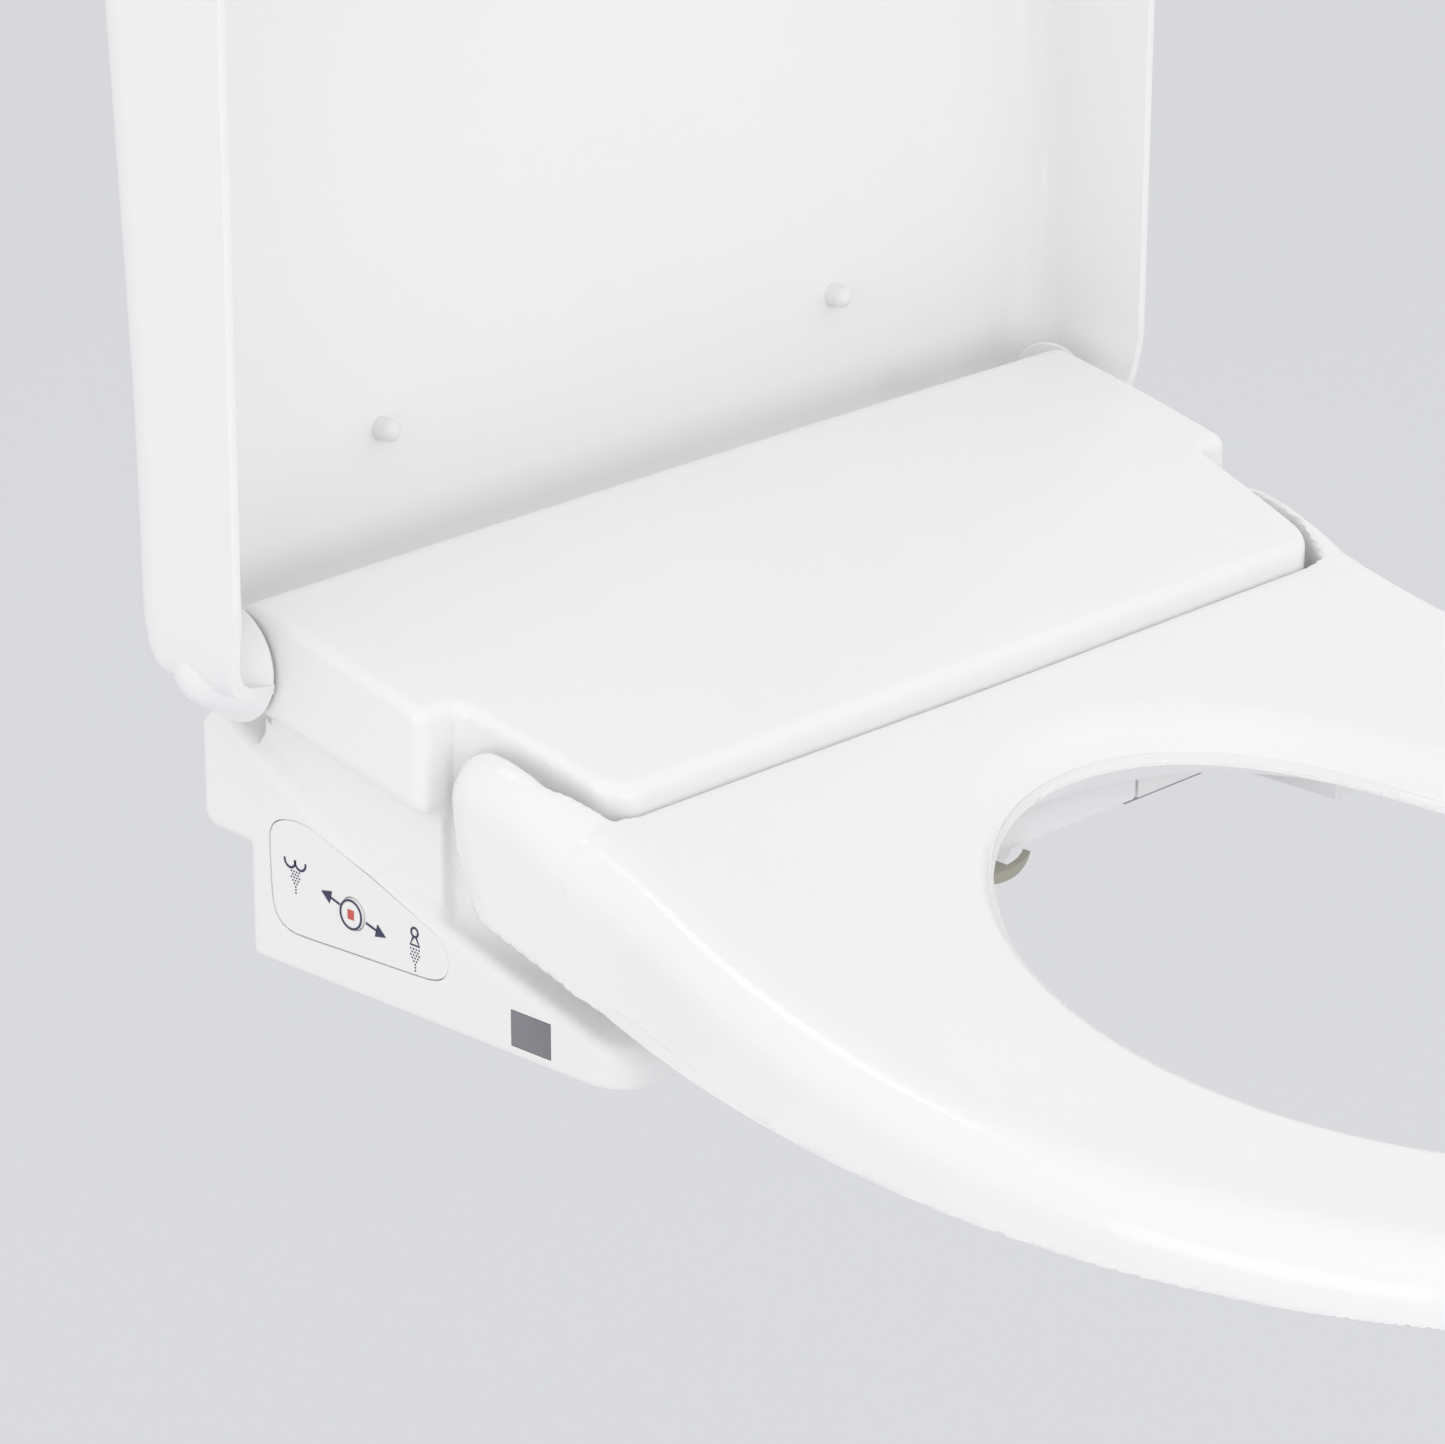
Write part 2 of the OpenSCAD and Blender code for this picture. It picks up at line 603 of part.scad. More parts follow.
module fan_rotor() color("gray") {
    rod_z(fan_x, fan_fwd, 5.3, 15, 5);
    for (a = [0:40:320]) translate([fan_x, datum - fan_fwd, 6]) rotate([0, 0, a])
        translate([4, -0.5, 0]) cube([8.6, 1, 9]);
}
module filter_cartridge() color("dimgray") difference() {
    box(149.6, flank_hw, 86, 126, 3.3, 14.7);
    for (i = [0:6]) box(153, 168, 89 + 5 * i, 92 + 5 * i, 5, 16);
}

// distance from the middle of a superellipse to its edge in the direction a
function superellipse(a, hw, hl, n) = pow(pow(abs(cos(a)) / hw, n) + pow(abs(sin(a)) / hl, n), -1 / n);

// ---------- lid ----------
lid_angles = concat([for (a = [-180:4:-136]) a], [for (a = [-133:0.8:-122.6]) a],
    [for (a = [-120:5:-60]) a], [for (a = [-57.4:0.8:-47]) a], [for (a = [-44:4:176]) a]);
// outline of the lid, drawn in by d, in the direction a from its middle
function lid_edge(a, d) = let(n = a < 0 ? 40 : 2.3, hw = lid_hw - d,
    hl = (a < 0 ? lid_mid - lid_rear : lid_len - lid_mid) - d, r = superellipse(a, hw, hl, n))
    [r * cos(a), lid_mid + r * sin(a)];
function lean(v) = lid_lean * (sqrt(pow(v - 70, 2) + 900) + v - 70) / 2;
function back_w(v) = lid_back - lean(v);
function lid_point(u, v, w) = [u, datum - lid_fwd - w, lid_z + v];
// rings of the shell: on the back, dw in front of it, and along the rim
function lid_ring(d, dw) = [for (a = lid_angles) let(p = lid_edge(a, d))
    lid_point(p[0], p[1], back_w(p[1]) + dw)];
function rim_ring(d) = [for (a = lid_angles) let(p = lid_edge(a, d))
    lid_point(p[0], p[1], lid_rim + rim_lean * p[1])];
lid_in_r = lid_round - lid_t;
module lid_pan() pan_skin(concat([lid_ring(100, 0)],
        [for (t = [0:15:90]) lid_ring(lid_round * (1 - sin(t)), lid_round * (1 - cos(t)))],
        [rim_ring(0), rim_ring(lid_t)],
        [for (t = [90:-18:0]) lid_ring(lid_t + lid_in_r * (1 - sin(t)), lid_t + lid_in_r * (1 - cos(t)))],
        [lid_ring(100, lid_t)]),
    lid_point(0, lid_mid, back_w(lid_mid)), lid_point(0, lid_mid, back_w(lid_mid) + lid_t));
function knuckle_edge(a) = [knuckle_end + (knuckle_r - knuckle_end) * cos(a),
    knuckle_flat + (knuckle_dome - knuckle_flat) * sin(a)];
// the front lower corners of the side walls are cut back round the knuckles, in [fwd, z]
lid_corner = [[28.5, 124], [25.5, 102], [21.5, 90], [20.5, 84], [44, 84], [44, 124]];
module lid() color("white") difference() {
    union() {
        difference() {
            lid_pan();
            // the rear wall stops short between the knuckles
            box(-knuckle_in, knuckle_in, lid_fwd + wrap_rim, lid_fwd + 40, lid_z + lid_rear - 2,
                lid_z + lid_rear + 9);
            both_sides() across(knuckle_in - 2, lid_hw + 2) polygon(lid_corner);
        }
        both_sides() translate([knuckle_in, datum - lid_fwd, lid_z]) rotate([0, 90, 0]) rotate_extrude()
            polygon(concat([[0, 0], [knuckle_r, 0]], [for (a = [0:15:90]) knuckle_edge(a)],
                [[knuckle_end, knuckle_len], [0, knuckle_len]]));
    }
    both_sides() rod_x(knuckle_in - 1, 196.2, lid_fwd, lid_z, pin_r + fit);
}
module lid_bumpers() color("gray") both_sides()
    translate(lid_point(pad_x, pad_v, back_w(pad_v) + lid_t + 0.02)) rotate([90, 0, 0])
        cylinder(r = pad_r, h = pad_h);
module lid_pin() color("silver") rod_x(-196, -152, lid_fwd, lid_z, pin_r);
module lid_damper() color("black") rod_x(150.5, shoulder_hw - 0.3, lid_fwd, lid_z, damper_r - fit);
module lid_damper_shaft() color("silver") rod_x(181.2, 196, lid_fwd, lid_z, pin_r);

// ---------- seat ----------
function top_z(f) = seat_front_z - 1 + (75 - seat_front_z) * exp(-pow(max(0, f - 137) / 121, 1.15));
function under_z(f) = 8 + 21 * exp(-(f - 137) / 110);
function rim_z(f) = under_z(f) + 26.3 * exp(-pow(max(0, f - 169) / 104, 1.3));
function half_w(f) = f > ring_c ? 1 : (178 + 12 * (1 - pow(min(1, (ring_c - f) / 110), 2))) / 190;
// outer and inner edge of the ring in the direction a; both as [x, fwd]
function ring_out(a, d) = let(n = sin(a) > 0 ? 2.15 : 40,
    hl = (sin(a) > 0 ? seat_front - ring_c : ring_c - ring_rear) - d,
    r = superellipse(a, ring_hw - d, hl, n), f = ring_c + r * sin(a)) [r * cos(a) * half_w(f), f];
function ring_in(a, d) = let(r = superellipse(a, hole_hw + d, hole_len + d, 2))
    [r * cos(a), hole_c + r * sin(a)];
function between(p, q, t) = p + (q - p) * t;
function at_z(p, z) = [p[0], datum - p[1], z];
// how much the outer edge is rounded: fully at the sides, hardly along the straight rear edge
function roll(f) = let(t = min(1, max(0, (f - 138.5) / 12))) 1.5 + 13.5 * t * t * (3 - 2 * t);
// steps of the direction, closer together at the rear corners
ring_angles = concat([for (a = [-180:4:-152]) a], [for (a = [-150:1:-140]) a], [for (a = [-138:4:-42]) a],
    [for (a = [-40:1:-30]) a], [for (a = [-28:4:176]) a]);
function dish(q) = 2.5 * (1 - q);
function skin_in(t) = [for (a = ring_angles) let(p = ring_in(a, 0), q = ring_out(a, 0), f = p[1],
    hz = 0.85 * (top_z(f) - dish(0) - rim_z(f) - lower_t), x = norm(q - p), r = min(18, 0.5 * x),
    m = between(p, q, r * (1 - cos(t)) / x)) at_z(m, top_z(m[1]) - dish(0) - hz * (1 - sin(t)))];
function skin_out(t) = [for (a = ring_angles) let(p = ring_in(a, 0), q = ring_out(a, 0),
    x = norm(q - p), r = roll(q[1]), m = between(q, p, r * (1 - cos(t)) / x))
    at_z(m, top_z(m[1]) - r * (1 - sin(t)))];
function skin_flat(k) = [for (a = ring_angles) let(p = ring_in(a, 0), q = ring_out(a, 0), x = norm(q - p),
    t0 = min(18, 0.5 * x) / x, t1 = 1 - roll(q[1]) / x, m = between(p, q, t0 + (t1 - t0) * k))
    at_z(m, top_z(m[1]) - dish(k))];
// a ring on the split between the halves, d in from the hole or from the outer edge
function split_ring(d, from_in, lift) = [for (a = ring_angles)
    let(p = ring_in(a, 0), q = ring_out(a, 0), t = from_in ? d / norm(q - p) : 1 - d / norm(q - p))
    at_z(between(p, q, t), (1 - t) * rim_z(p[1]) + t * under_z(q[1]) + lift)];
// a ring under the skin, t of the way from the hole to the outer edge
function under_skin(t, drop) = [for (a = ring_angles) let(m = between(ring_in(a, 0), ring_out(a, 0), t))
    at_z(m, top_z(m[1]) - dish(t) - drop)];

module ring_skin() torus_skin(concat([split_ring(0, true, lower_t + split_gap)],
    [for (t = [0:22.5:90]) skin_in(t)], [skin_flat(0.33), skin_flat(0.67)],
    [for (t = [90:-18:0]) skin_out(t)], [split_ring(0, false, lower_t + split_gap)],
    [split_ring(skin, false, lower_t + split_gap), under_skin(0.84, 4.5), under_skin(0.57, 4.5),
        under_skin(0.3, 5), split_ring(skin, true, lower_t + split_gap)]));
// side view of an arm that reaches back to the hinge: [fwd, z, rounding of its outer edge]
arm_line = concat([for (a = [180:-10:90]) [seat_fwd + arm_r * cos(a), seat_z + arm_r * sin(a), 10]],
    [[112, 85.2, 10.5], [125, 80.6, 12], [137, 75, 13.5], [150, 70.1, 15], [162, 66.5, 15],
    [162, 33.6, 1], [150, 33.6, 1], [138.2, 33.6, 1], [137.8, 29.2, 1], [90, 43, 3], [84.5, 55, 8]]);
arm_mid = [125, 55];
// the inner face follows the tongue of the cover
function arm_in(f) = arm_in_rear
    - (min(arm_taper_fwd[1], max(arm_taper_fwd[0], f)) - arm_taper_fwd[0]) * arm_taper;
function arm_normal(i) = let(n = len(arm_line), d = arm_line[(i + 1) % n] - arm_line[(i + n - 1) % n])
    [d[1], -d[0]] / norm([d[0], d[1]]);
function arm_inner() = [for (p = arm_line) at_z([arm_in(p[0]), p[0]], p[1])];
function arm_ring(t) = [for (i = [0:len(arm_line) - 1]) let(p = arm_line[i], r = p[2], n = arm_normal(i),
    inset = r * (1 - cos(t))) at_z([arm_out - r * (1 - sin(t)), p[0] + inset * n[0]], p[1] + inset * n[1])];
module seat_arm() pan_skin(concat([arm_inner()], [for (t = [0:18:90]) arm_ring(t)]),
    at_z([arm_in(arm_mid[0]), arm_mid[0]], arm_mid[1]), at_z([arm_out, arm_mid[0]], arm_mid[1]));
module seat_upper() color("white") difference() {
    union() {
        ring_skin();
        both_sides() seat_arm();
    }
    both_sides() rod_x(arm_in_rear - 6, 176.3, seat_fwd, seat_z, pin_r + fit);
}
pads = [[150, 214], [88, 436]];
module seat_lower() color("white") difference() {
    torus_skin([split_ring(0.6, true, lower_t), split_ring(0.6, false, lower_t),
        split_ring(0.6, false, 0), split_ring(0.6, true, 0)]);
    both_sides() for (p = pads) rod_z(p[0], p[1], -1, under_z(p[1]) + 3, 8 + fit);
}
module seat_bumpers() color("gray") both_sides()
    for (p = pads) rod_z(p[0], p[1], 0, under_z(p[1]) + 2.9, 8);
module seat_heater() color("silver")
    torus_skin([under_skin(0.36, foil_drop), under_skin(0.78, foil_drop),
        under_skin(0.78, foil_drop + foil_t), under_skin(0.36, foil_drop + foil_t)]);
module seat_thermostat() color("black") rod_z(0, 466, 15.5, 19, 5);
module seat_pin() color("silver") rod_x(128, 176, seat_fwd, seat_z, pin_r);
module seat_damper() color("black") rod_x(-157.5, -127, seat_fwd, seat_z, damper_r - fit);
module seat_damper_shaft() color("silver") rod_x(-176, -158, seat_fwd, seat_z, pin_r);

base_tray();
top_cover();
housing_screws();
control_rocker();
rocker_pivots();
stop_button();
sensor_window();
ir_receiver();
main_board();
power_board();
cord_gland();
drain_plug();
mounting_plate();
release_button();
release_spring();
inlet_fitting();
inlet_strainer();
solenoid_valve();
flow_sensor();
flow_rotor();
water_heater();
diverter_valve();
supply_hoses();
nozzle_hoses();
nozzle_housing();
nozzle_guard();
rear_nozzle();
front_nozzle();
rear_pinion();
front_pinion();
rear_motor();
front_motor();
blower_housing();
blower_impeller();
blower_motor();
dryer_duct();
dryer_heater();
dryer_flap();
flap_pin();
fan_frame();
fan_rotor();
filter_cartridge();
lid();
lid_bumpers();
lid_pin();
lid_damper();
lid_damper_shaft();
seat_upper();
seat_lower();
seat_heater();
seat_thermostat();
seat_bumpers();
seat_pin();
seat_damper();
seat_damper_shaft();
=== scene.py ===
"""Looks of an electric bidet seat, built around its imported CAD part."""
import json
import math

import bmesh
import bpy
import numpy as np
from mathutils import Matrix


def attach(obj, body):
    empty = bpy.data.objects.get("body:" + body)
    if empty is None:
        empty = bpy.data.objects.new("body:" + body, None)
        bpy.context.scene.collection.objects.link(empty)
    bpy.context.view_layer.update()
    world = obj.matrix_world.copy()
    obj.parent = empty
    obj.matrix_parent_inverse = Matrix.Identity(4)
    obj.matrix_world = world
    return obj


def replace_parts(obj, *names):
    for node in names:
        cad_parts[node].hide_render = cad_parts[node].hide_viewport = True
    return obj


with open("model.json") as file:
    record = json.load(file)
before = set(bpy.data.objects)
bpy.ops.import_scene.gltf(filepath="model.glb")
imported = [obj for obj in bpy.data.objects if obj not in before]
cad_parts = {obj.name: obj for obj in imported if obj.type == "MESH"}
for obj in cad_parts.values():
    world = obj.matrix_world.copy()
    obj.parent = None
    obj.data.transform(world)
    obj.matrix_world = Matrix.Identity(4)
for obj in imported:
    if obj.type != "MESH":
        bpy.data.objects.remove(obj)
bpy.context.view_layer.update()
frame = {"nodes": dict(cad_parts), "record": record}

import openvdb
from mathutils import Vector

NODES = frame["nodes"]
MM = 0.001

# ---------- sizes shared with the CAD part, in mm ----------
DATUM = 45.0
LID_FWD, LID_Z = 4.0, 94.0
SEAT_FWD, SEAT_Z = 99.0, 71.0
FLANK_HW = 174.0
SHOULDER_HW = 179.0
LOW_HW = 169.0
TONGUE_REAR_HW, TONGUE_FWD = 164.0, 136.0
WALL = 3.0


def at(x, fwd, z):
    """A place in the frame, in metres, from mm across, mm forwards of the rear edge and mm up."""
    return Vector((x * MM, (DATUM - fwd) * MM, z * MM))


# ---------- materials ----------
class Tree:
    """Short calls for building a material's node tree."""

    def __init__(self, name):
        self.mat = bpy.data.materials.new(name)
        self.mat.use_nodes = True
        self.nodes = self.mat.node_tree.nodes
        self.links = self.mat.node_tree.links
        self.bsdf = self.nodes["Principled BSDF"]
        self.coordinates = None

    def add(self, kind):
        return self.nodes.new(kind)

    def link(self, a, b):
        self.links.new(a, b)

    def place(self):
        if self.coordinates is None:
            self.coordinates = self.add("ShaderNodeTexCoord")
        return self.coordinates.outputs["Object"]

    def noise(self, scale, detail=3.0, roughness=0.5):
        node = self.add("ShaderNodeTexNoise")
        node.inputs["Scale"].default_value = scale
        node.inputs["Detail"].default_value = detail
        node.inputs["Roughness"].default_value = roughness
        self.link(self.place(), node.inputs["Vector"])
        return node.outputs["Fac"]

    def spread(self, value, low, high, start=0.3, end=0.7):
        node = self.add("ShaderNodeMapRange")
        node.inputs["From Min"].default_value = start
        node.inputs["From Max"].default_value = end
        node.inputs["To Min"].default_value = low
        node.inputs["To Max"].default_value = high
        self.link(value, node.inputs["Value"])
        return node.outputs["Result"]

    def two_tone(self, value, first, second):
        node = self.add("ShaderNodeMix")
        node.data_type = "RGBA"
        colors = [socket for socket in node.inputs if socket.type == "RGBA"]
        for socket in colors:
            socket.default_value = (*first, 1) if socket.name == "A" else (*second, 1)
        self.link(value, node.inputs["Factor"])
        return [o for o in node.outputs if o.type == "RGBA"][0]

    def bump(self, height, distance):
        node = self.add("ShaderNodeBump")
        node.inputs["Distance"].default_value = distance
        node.inputs["Strength"].default_value = 1.0
        self.link(height, node.inputs["Height"])
        self.link(node.outputs["Normal"], self.bsdf.inputs["Normal"])


def shade(color, factor):
    return tuple(max(0.0, min(1.0, c * factor)) for c in color)


CLOUD_SCALE = 14.0
UNEVEN_GLOSS = 0.08


def moulded(name, color, roughness, grain, depth, metallic=0.0, contrast=0.02):
    """A moulded, cast or rolled surface: faint cloudiness of the colour, grain and uneven gloss."""
    t = Tree(name)
    t.bsdf.inputs["Metallic"].default_value = metallic
    cloud = t.spread(t.noise(CLOUD_SCALE, 2.0), 0.0, 1.0)
    tint = t.two_tone(cloud, shade(color, 1 - contrast), shade(color, 1 + contrast))
    t.link(tint, t.bsdf.inputs["Base Color"])
    fine = t.noise(grain, 4.0, 0.55)
    gloss_range = t.spread(fine, roughness * (1 - UNEVEN_GLOSS), roughness * (1 + UNEVEN_GLOSS))
    t.link(gloss_range, t.bsdf.inputs["Roughness"])
    t.bump(fine, depth)
    return t.mat


def gloss(name, color, roughness):
    """Smooth moulded plastic, almost without grain."""
    return moulded(name, color, roughness, 400.0, 0.000001, contrast=0.004)


WHITE = (0.92, 0.92, 0.922)
SEAT_WHITE = (0.925, 0.920, 0.922)
IVORY = (0.915, 0.905, 0.905)

LOOKS = {
    "white_gloss": lambda: gloss("white_gloss", WHITE, 0.15),
    "ivory_satin": lambda: gloss("ivory_satin", IVORY, 0.34),
    "seat_gloss": lambda: gloss("seat_gloss", SEAT_WHITE, 0.13),
    # nozzle guard: the olive tint is its own colour, but the base colour is darkened well below its own light
    # olive grey, which is painted shade from under the seat
    "guard_plastic": lambda: moulded("guard_plastic", (0.40, 0.39, 0.32), 0.45, 1500.0, 0.00002),
    "smoked": lambda: moulded("smoked", (0.25, 0.245, 0.27), 0.2, 600.0, 0.000006, contrast=0.2),
    "black_plastic": lambda: moulded("black_plastic", (0.025, 0.025, 0.028), 0.42, 2200.0, 0.00002),
    "grey_plastic": lambda: moulded("grey_plastic", (0.32, 0.33, 0.34), 0.45, 2000.0, 0.00002),
    "white_inner": lambda: moulded("white_inner", (0.80, 0.80, 0.78), 0.42, 1800.0, 0.000015),
    "board": lambda: moulded("board", (0.02, 0.16, 0.07), 0.35, 700.0, 0.00001, contrast=0.25),
    "steel": lambda: moulded("steel", (0.55, 0.55, 0.57), 0.3, 3000.0, 0.00001, metallic=1.0),
    "brass": lambda: moulded("brass", (0.72, 0.53, 0.25), 0.25, 2500.0, 0.00001, metallic=1.0),
    "alu": lambda: moulded("alu", (0.78, 0.78, 0.80), 0.35, 2500.0, 0.00001, metallic=1.0),
    "silicone": lambda: moulded("silicone", (0.72, 0.72, 0.69), 0.35, 1200.0, 0.00001),
    "rubber": lambda: moulded("rubber", (0.25, 0.26, 0.27), 0.7, 1600.0, 0.00003),
    "pad_white": lambda: moulded("pad_white", (0.90, 0.90, 0.90), 0.4, 1600.0, 0.00001),
    "ink": lambda: moulded("ink", (0.035, 0.04, 0.09), 0.35, 1800.0, 0.000004, contrast=0.05),
    "red_ink": lambda: moulded("red_ink", (0.62, 0.10, 0.09), 0.35, 1800.0, 0.000004, contrast=0.05),
    "carbon": lambda: moulded("carbon", (0.045, 0.045, 0.045), 0.6, 1200.0, 0.00004),
}
MATS = {}


def look(slot):
    if slot not in MATS:
        MATS[slot] = LOOKS[slot]()
    return MATS[slot]


def dress_cad_nodes():
    slots = {row["node"]: row["material_slot"] for row in frame["record"]["subparts"]}
    for name, node in NODES.items():
        node.data.materials.clear()
        node.data.materials.append(look(slots[name]))


# ---------- mesh helpers ----------
def new_piece(name, mesh, slot, body, angle=40.0):
    obj = bpy.data.objects.new(name, mesh)
    bpy.context.scene.collection.objects.link(obj)
    mesh.materials.clear()
    mesh.materials.append(look(slot))
    smooth(obj, angle)
    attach(obj, body)
    return obj


def smooth(obj, angle):
    mesh = obj.data
    mesh.shade_smooth()
    mesh.set_sharp_from_angle(angle=math.radians(angle))
    mod = obj.modifiers.new("normals", "WEIGHTED_NORMAL")
    mod.keep_sharp = True


def mesh_from(name, points, faces):
    mesh = bpy.data.meshes.new(name)
    mesh.from_pydata([tuple(p) for p in points], [], faces)
    mesh.validate()
    bm = bmesh.new()
    bm.from_mesh(mesh)
    bmesh.ops.recalc_face_normals(bm, faces=bm.faces)
    bm.to_mesh(mesh)
    bm.free()
    return mesh


def lofted(name, rings, caps):
    """Skin over rings of equal length, closed at both ends; caps are the two end points."""
    n, m = len(rings[0]), len(rings)
    points = [p for ring in rings for p in ring] + list(caps)
    faces = []
    for k in range(m - 1):
        a, b = k * n, (k + 1) * n
        for i in range(n):
            j = (i + 1) % n
            faces.append((a + i, a + j, b + j, b + i))
    first, last = m * n, m * n + 1
    for i in range(n):
        j = (i + 1) % n
        faces.append((first, i, j))
        faces.append((last, (m - 1) * n + j, (m - 1) * n + i))
    return mesh_from(name, points, faces)


def boolean(obj, other, operation):
    mod = obj.modifiers.new("cut", "BOOLEAN")
    mod.operation = operation
    mod.solver = "EXACT"
    mod.object = other
    dg = bpy.context.evaluated_depsgraph_get()
    mesh = bpy.data.meshes.new_from_object(obj.evaluated_get(dg))
    obj.modifiers.clear()
    obj.data = mesh
    bpy.data.objects.remove(other)


def temp(mesh):
    obj = bpy.data.objects.new("temp", mesh)
    bpy.context.scene.collection.objects.link(obj)
    return obj


def box_mesh(x0, x1, f0, f1, z0, z1):
    corners = [at(x, f, z) for x in (x0, x1) for f in (f0, f1) for z in (z0, z1)]
    faces = [(0, 1, 3, 2), (4, 6, 7, 5), (0, 4, 5, 1), (2, 3, 7, 6), (0, 2, 6, 4), (1, 5, 7, 3)]
    return mesh_from("box", corners, faces)


def prism(name, outline_points, x0, x1):
    """A closed outline in [fwd, z], drawn across from x0 to x1."""
    points = [at(x, f, z) for x in (x0, x1) for f, z in outline_points]
    n = len(outline_points)
    faces = [tuple(range(n))[::-1], tuple(range(n, 2 * n))]
    faces += [(i, (i + 1) % n, n + (i + 1) % n, n + i) for i in range(n)]
    return mesh_from(name, points, faces)


TURN_STEPS = 96


def turned_mesh(name, stations, fwd, z):
    """A turned shape about an axis across the seat; stations are (x, radius)."""
    turn = [2 * math.pi * i / TURN_STEPS for i in range(TURN_STEPS)]
    rings = [[at(x, fwd + r * math.cos(a), z + r * math.sin(a)) for a in turn] for x, r in stations]
    return lofted(name, rings, (at(stations[0][0], fwd, z), at(stations[-1][0], fwd, z)))


# ---------- smooth solids from distance fields, in mm: x, fwd, z ----------
def round_max(a, b, r):
    """Intersection whose convex edge is rounded with radius r."""
    return np.minimum(np.maximum(a, b) + r, 0) + np.hypot(np.maximum(a + r, 0), np.maximum(b + r, 0)) - r


def round_min(a, b, r):
    """Union whose concave edge is filled with radius r."""
    return -round_max(-a, -b, r)


def outline(points, a, b):
    """Signed distance from (a, b) to a closed outline, negative inside."""
    best = None
    inside = None
    for (p0, p1), (q0, q1) in zip(points, points[1:] + points[:1]):
        e0, e1 = q0 - p0, q1 - p1
        t = np.clip(((a - p0) * e0 + (b - p1) * e1) / (e0 * e0 + e1 * e1), 0, 1)
        gap = (a - p0 - t * e0) ** 2 + (b - p1 - t * e1) ** 2
        best = gap if best is None else np.minimum(best, gap)
        if e1 != 0:
            crosses = ((p1 > b) != (q1 > b)) & (a < p0 + (b - p1) * e0 / e1)
            inside = crosses if inside is None else inside ^ crosses
    return np.where(inside, -1.0, 1.0) * np.sqrt(best)


def block(x, f, z, x0, x1, f0, f1, z0, z1):
    plan = np.maximum(np.maximum(x0 - x, x - x1), np.maximum(f0 - f, f - f1))
    return np.maximum(plan, np.maximum(z0 - z, z - z1))


def rod(u, v, along, r, a0, a1):
    """A round bar: u and v are distances from its axis."""
    return np.maximum(np.hypot(u, v) - r, np.maximum(a0 - along, along - a1))


def field_mesh(name, field, low, high, step, keep):
    """Closed mesh of a field's zero surface, thinned to the share keep; its points then move onto it."""
    axes = [np.arange(a, b + step, step) for a, b in zip(low, high)]
    x, f, z = axes[0][:, None, None], axes[1][None, :, None], axes[2][None, None, :]
    values = np.ascontiguousarray(np.broadcast_to(field(x, f, z), [len(a) for a in axes]), np.float32)
    grid = openvdb.FloatGrid(3 * step)
    grid.copyFromArray(values)
    points, quads = grid.convertToQuads(0.0)
    points = points * step + np.array(low)
    mesh = bpy.data.meshes.new(name)
    mesh.from_pydata(points.tolist(), [], quads[:, ::-1].tolist())
    mesh = thinned(mesh, keep)
    place_on_surface(mesh, field)
    return mesh


def thinned(mesh, keep):
    obj = temp(mesh)
    mod = obj.modifiers.new("thin", "DECIMATE")
    mod.ratio = keep
    made = bpy.data.meshes.new_from_object(obj.evaluated_get(bpy.context.evaluated_depsgraph_get()))
    bpy.data.objects.remove(obj)
    return made


SNAP_ROUNDS, SNAP_REACH, SNAP_STEP = 3, 0.6, 0.05
LEAST_SLOPE = 0.2


def place_on_surface(mesh, field):
    """Moves each point along the field's slope to where the field is zero, then turns mm into metres."""
    co = np.empty(len(mesh.vertices) * 3)
    mesh.vertices.foreach_get("co", co)
    p = co.reshape(-1, 3)
    for _ in range(SNAP_ROUNDS):
        d = field(p[:, 0], p[:, 1], p[:, 2])
        slope = np.stack([(field(*(p + off).T) - d) / SNAP_STEP for off in np.eye(3) * SNAP_STEP], 1)
        move = -slope * (d / np.maximum((slope ** 2).sum(1), LEAST_SLOPE))[:, None]
        length = np.linalg.norm(move, axis=1, keepdims=True)
        p = p + move * np.minimum(1, SNAP_REACH / np.maximum(length, 1e-9))
    out = np.stack([p[:, 0] * MM, (DATUM - p[:, 1]) * MM, p[:, 2] * MM], 1)
    mesh.vertices.foreach_set("co", out.ravel())
    mesh.update()


# ---------- lid ----------
LID_HW, LID_LEN, LID_T = 200.0, 508.0, 3.0
LID_REAR, LID_RIM, LID_BACK, LID_LEAN = -6.0, 23.5, -26.0, 0.055
LID_ROUND, LID_MID = 16.0, 250.0
LID_CURVE, LID_SQUARE = 2.3, 40.0
LEAN_START, LEAN_EASE = 70, 30
RIM_RISE, RIM_SOFT = 0.008, 0.9
BACK_INSETS = (160, 120, 80, 40, 20)
# from and to which direction, in degrees, and how far apart the outline's points are
LID_STEPS = ((-180, -134, 2), (-134, -122, 0.4), (-122, -58, 2), (-58, -46, 0.4), (-46, 180, 1.5))
SPARE = 2.0
# the rear wall is cut away between the knuckles, from its rim forwards
WRAP_RIM, WRAP_END, WRAP_TOP = -14.0, 40, 9
KNUCKLE_R, KNUCKLE_IN, KNUCKLE_SOFT = 18.0, 180.4, 0.8
KNUCKLE_CENTRE, KNUCKLE_BALL, KNUCKLE_TIP = 7.7, 11.5, 0.3
# the walls' front lower corners are cut back round the knuckles, in [fwd, z]
LID_CORNER = ((28.6, 128), (27.2, 116), (25.2, 104), (23.0, 95), (21.2, 89), (20.5, 84), (44, 84), (44, 128))


def lid_edge(a, d):
    """The lid's outline in the direction a, drawn in by d: curved in front, square behind."""
    c, s = math.cos(a), math.sin(a)
    n = LID_SQUARE if s < 0 else LID_CURVE
    hw = LID_HW - d
    hl = (LID_MID - LID_REAR if s < 0 else LID_LEN - LID_MID) - d
    r = ((abs(c) / hw) ** n + (abs(s) / hl) ** n) ** (-1 / n)
    return r * c, LID_MID + r * s


def lid_back_w(v):
    """Where the lid's outer face stands, leaning back above LEAN_START."""
    return LID_BACK - LID_LEAN * (math.hypot(v - LEAN_START, LEAN_EASE) + v - LEAN_START) / 2


def lid_point(u, v, w):
    return at(u, LID_FWD + w, LID_Z + v)


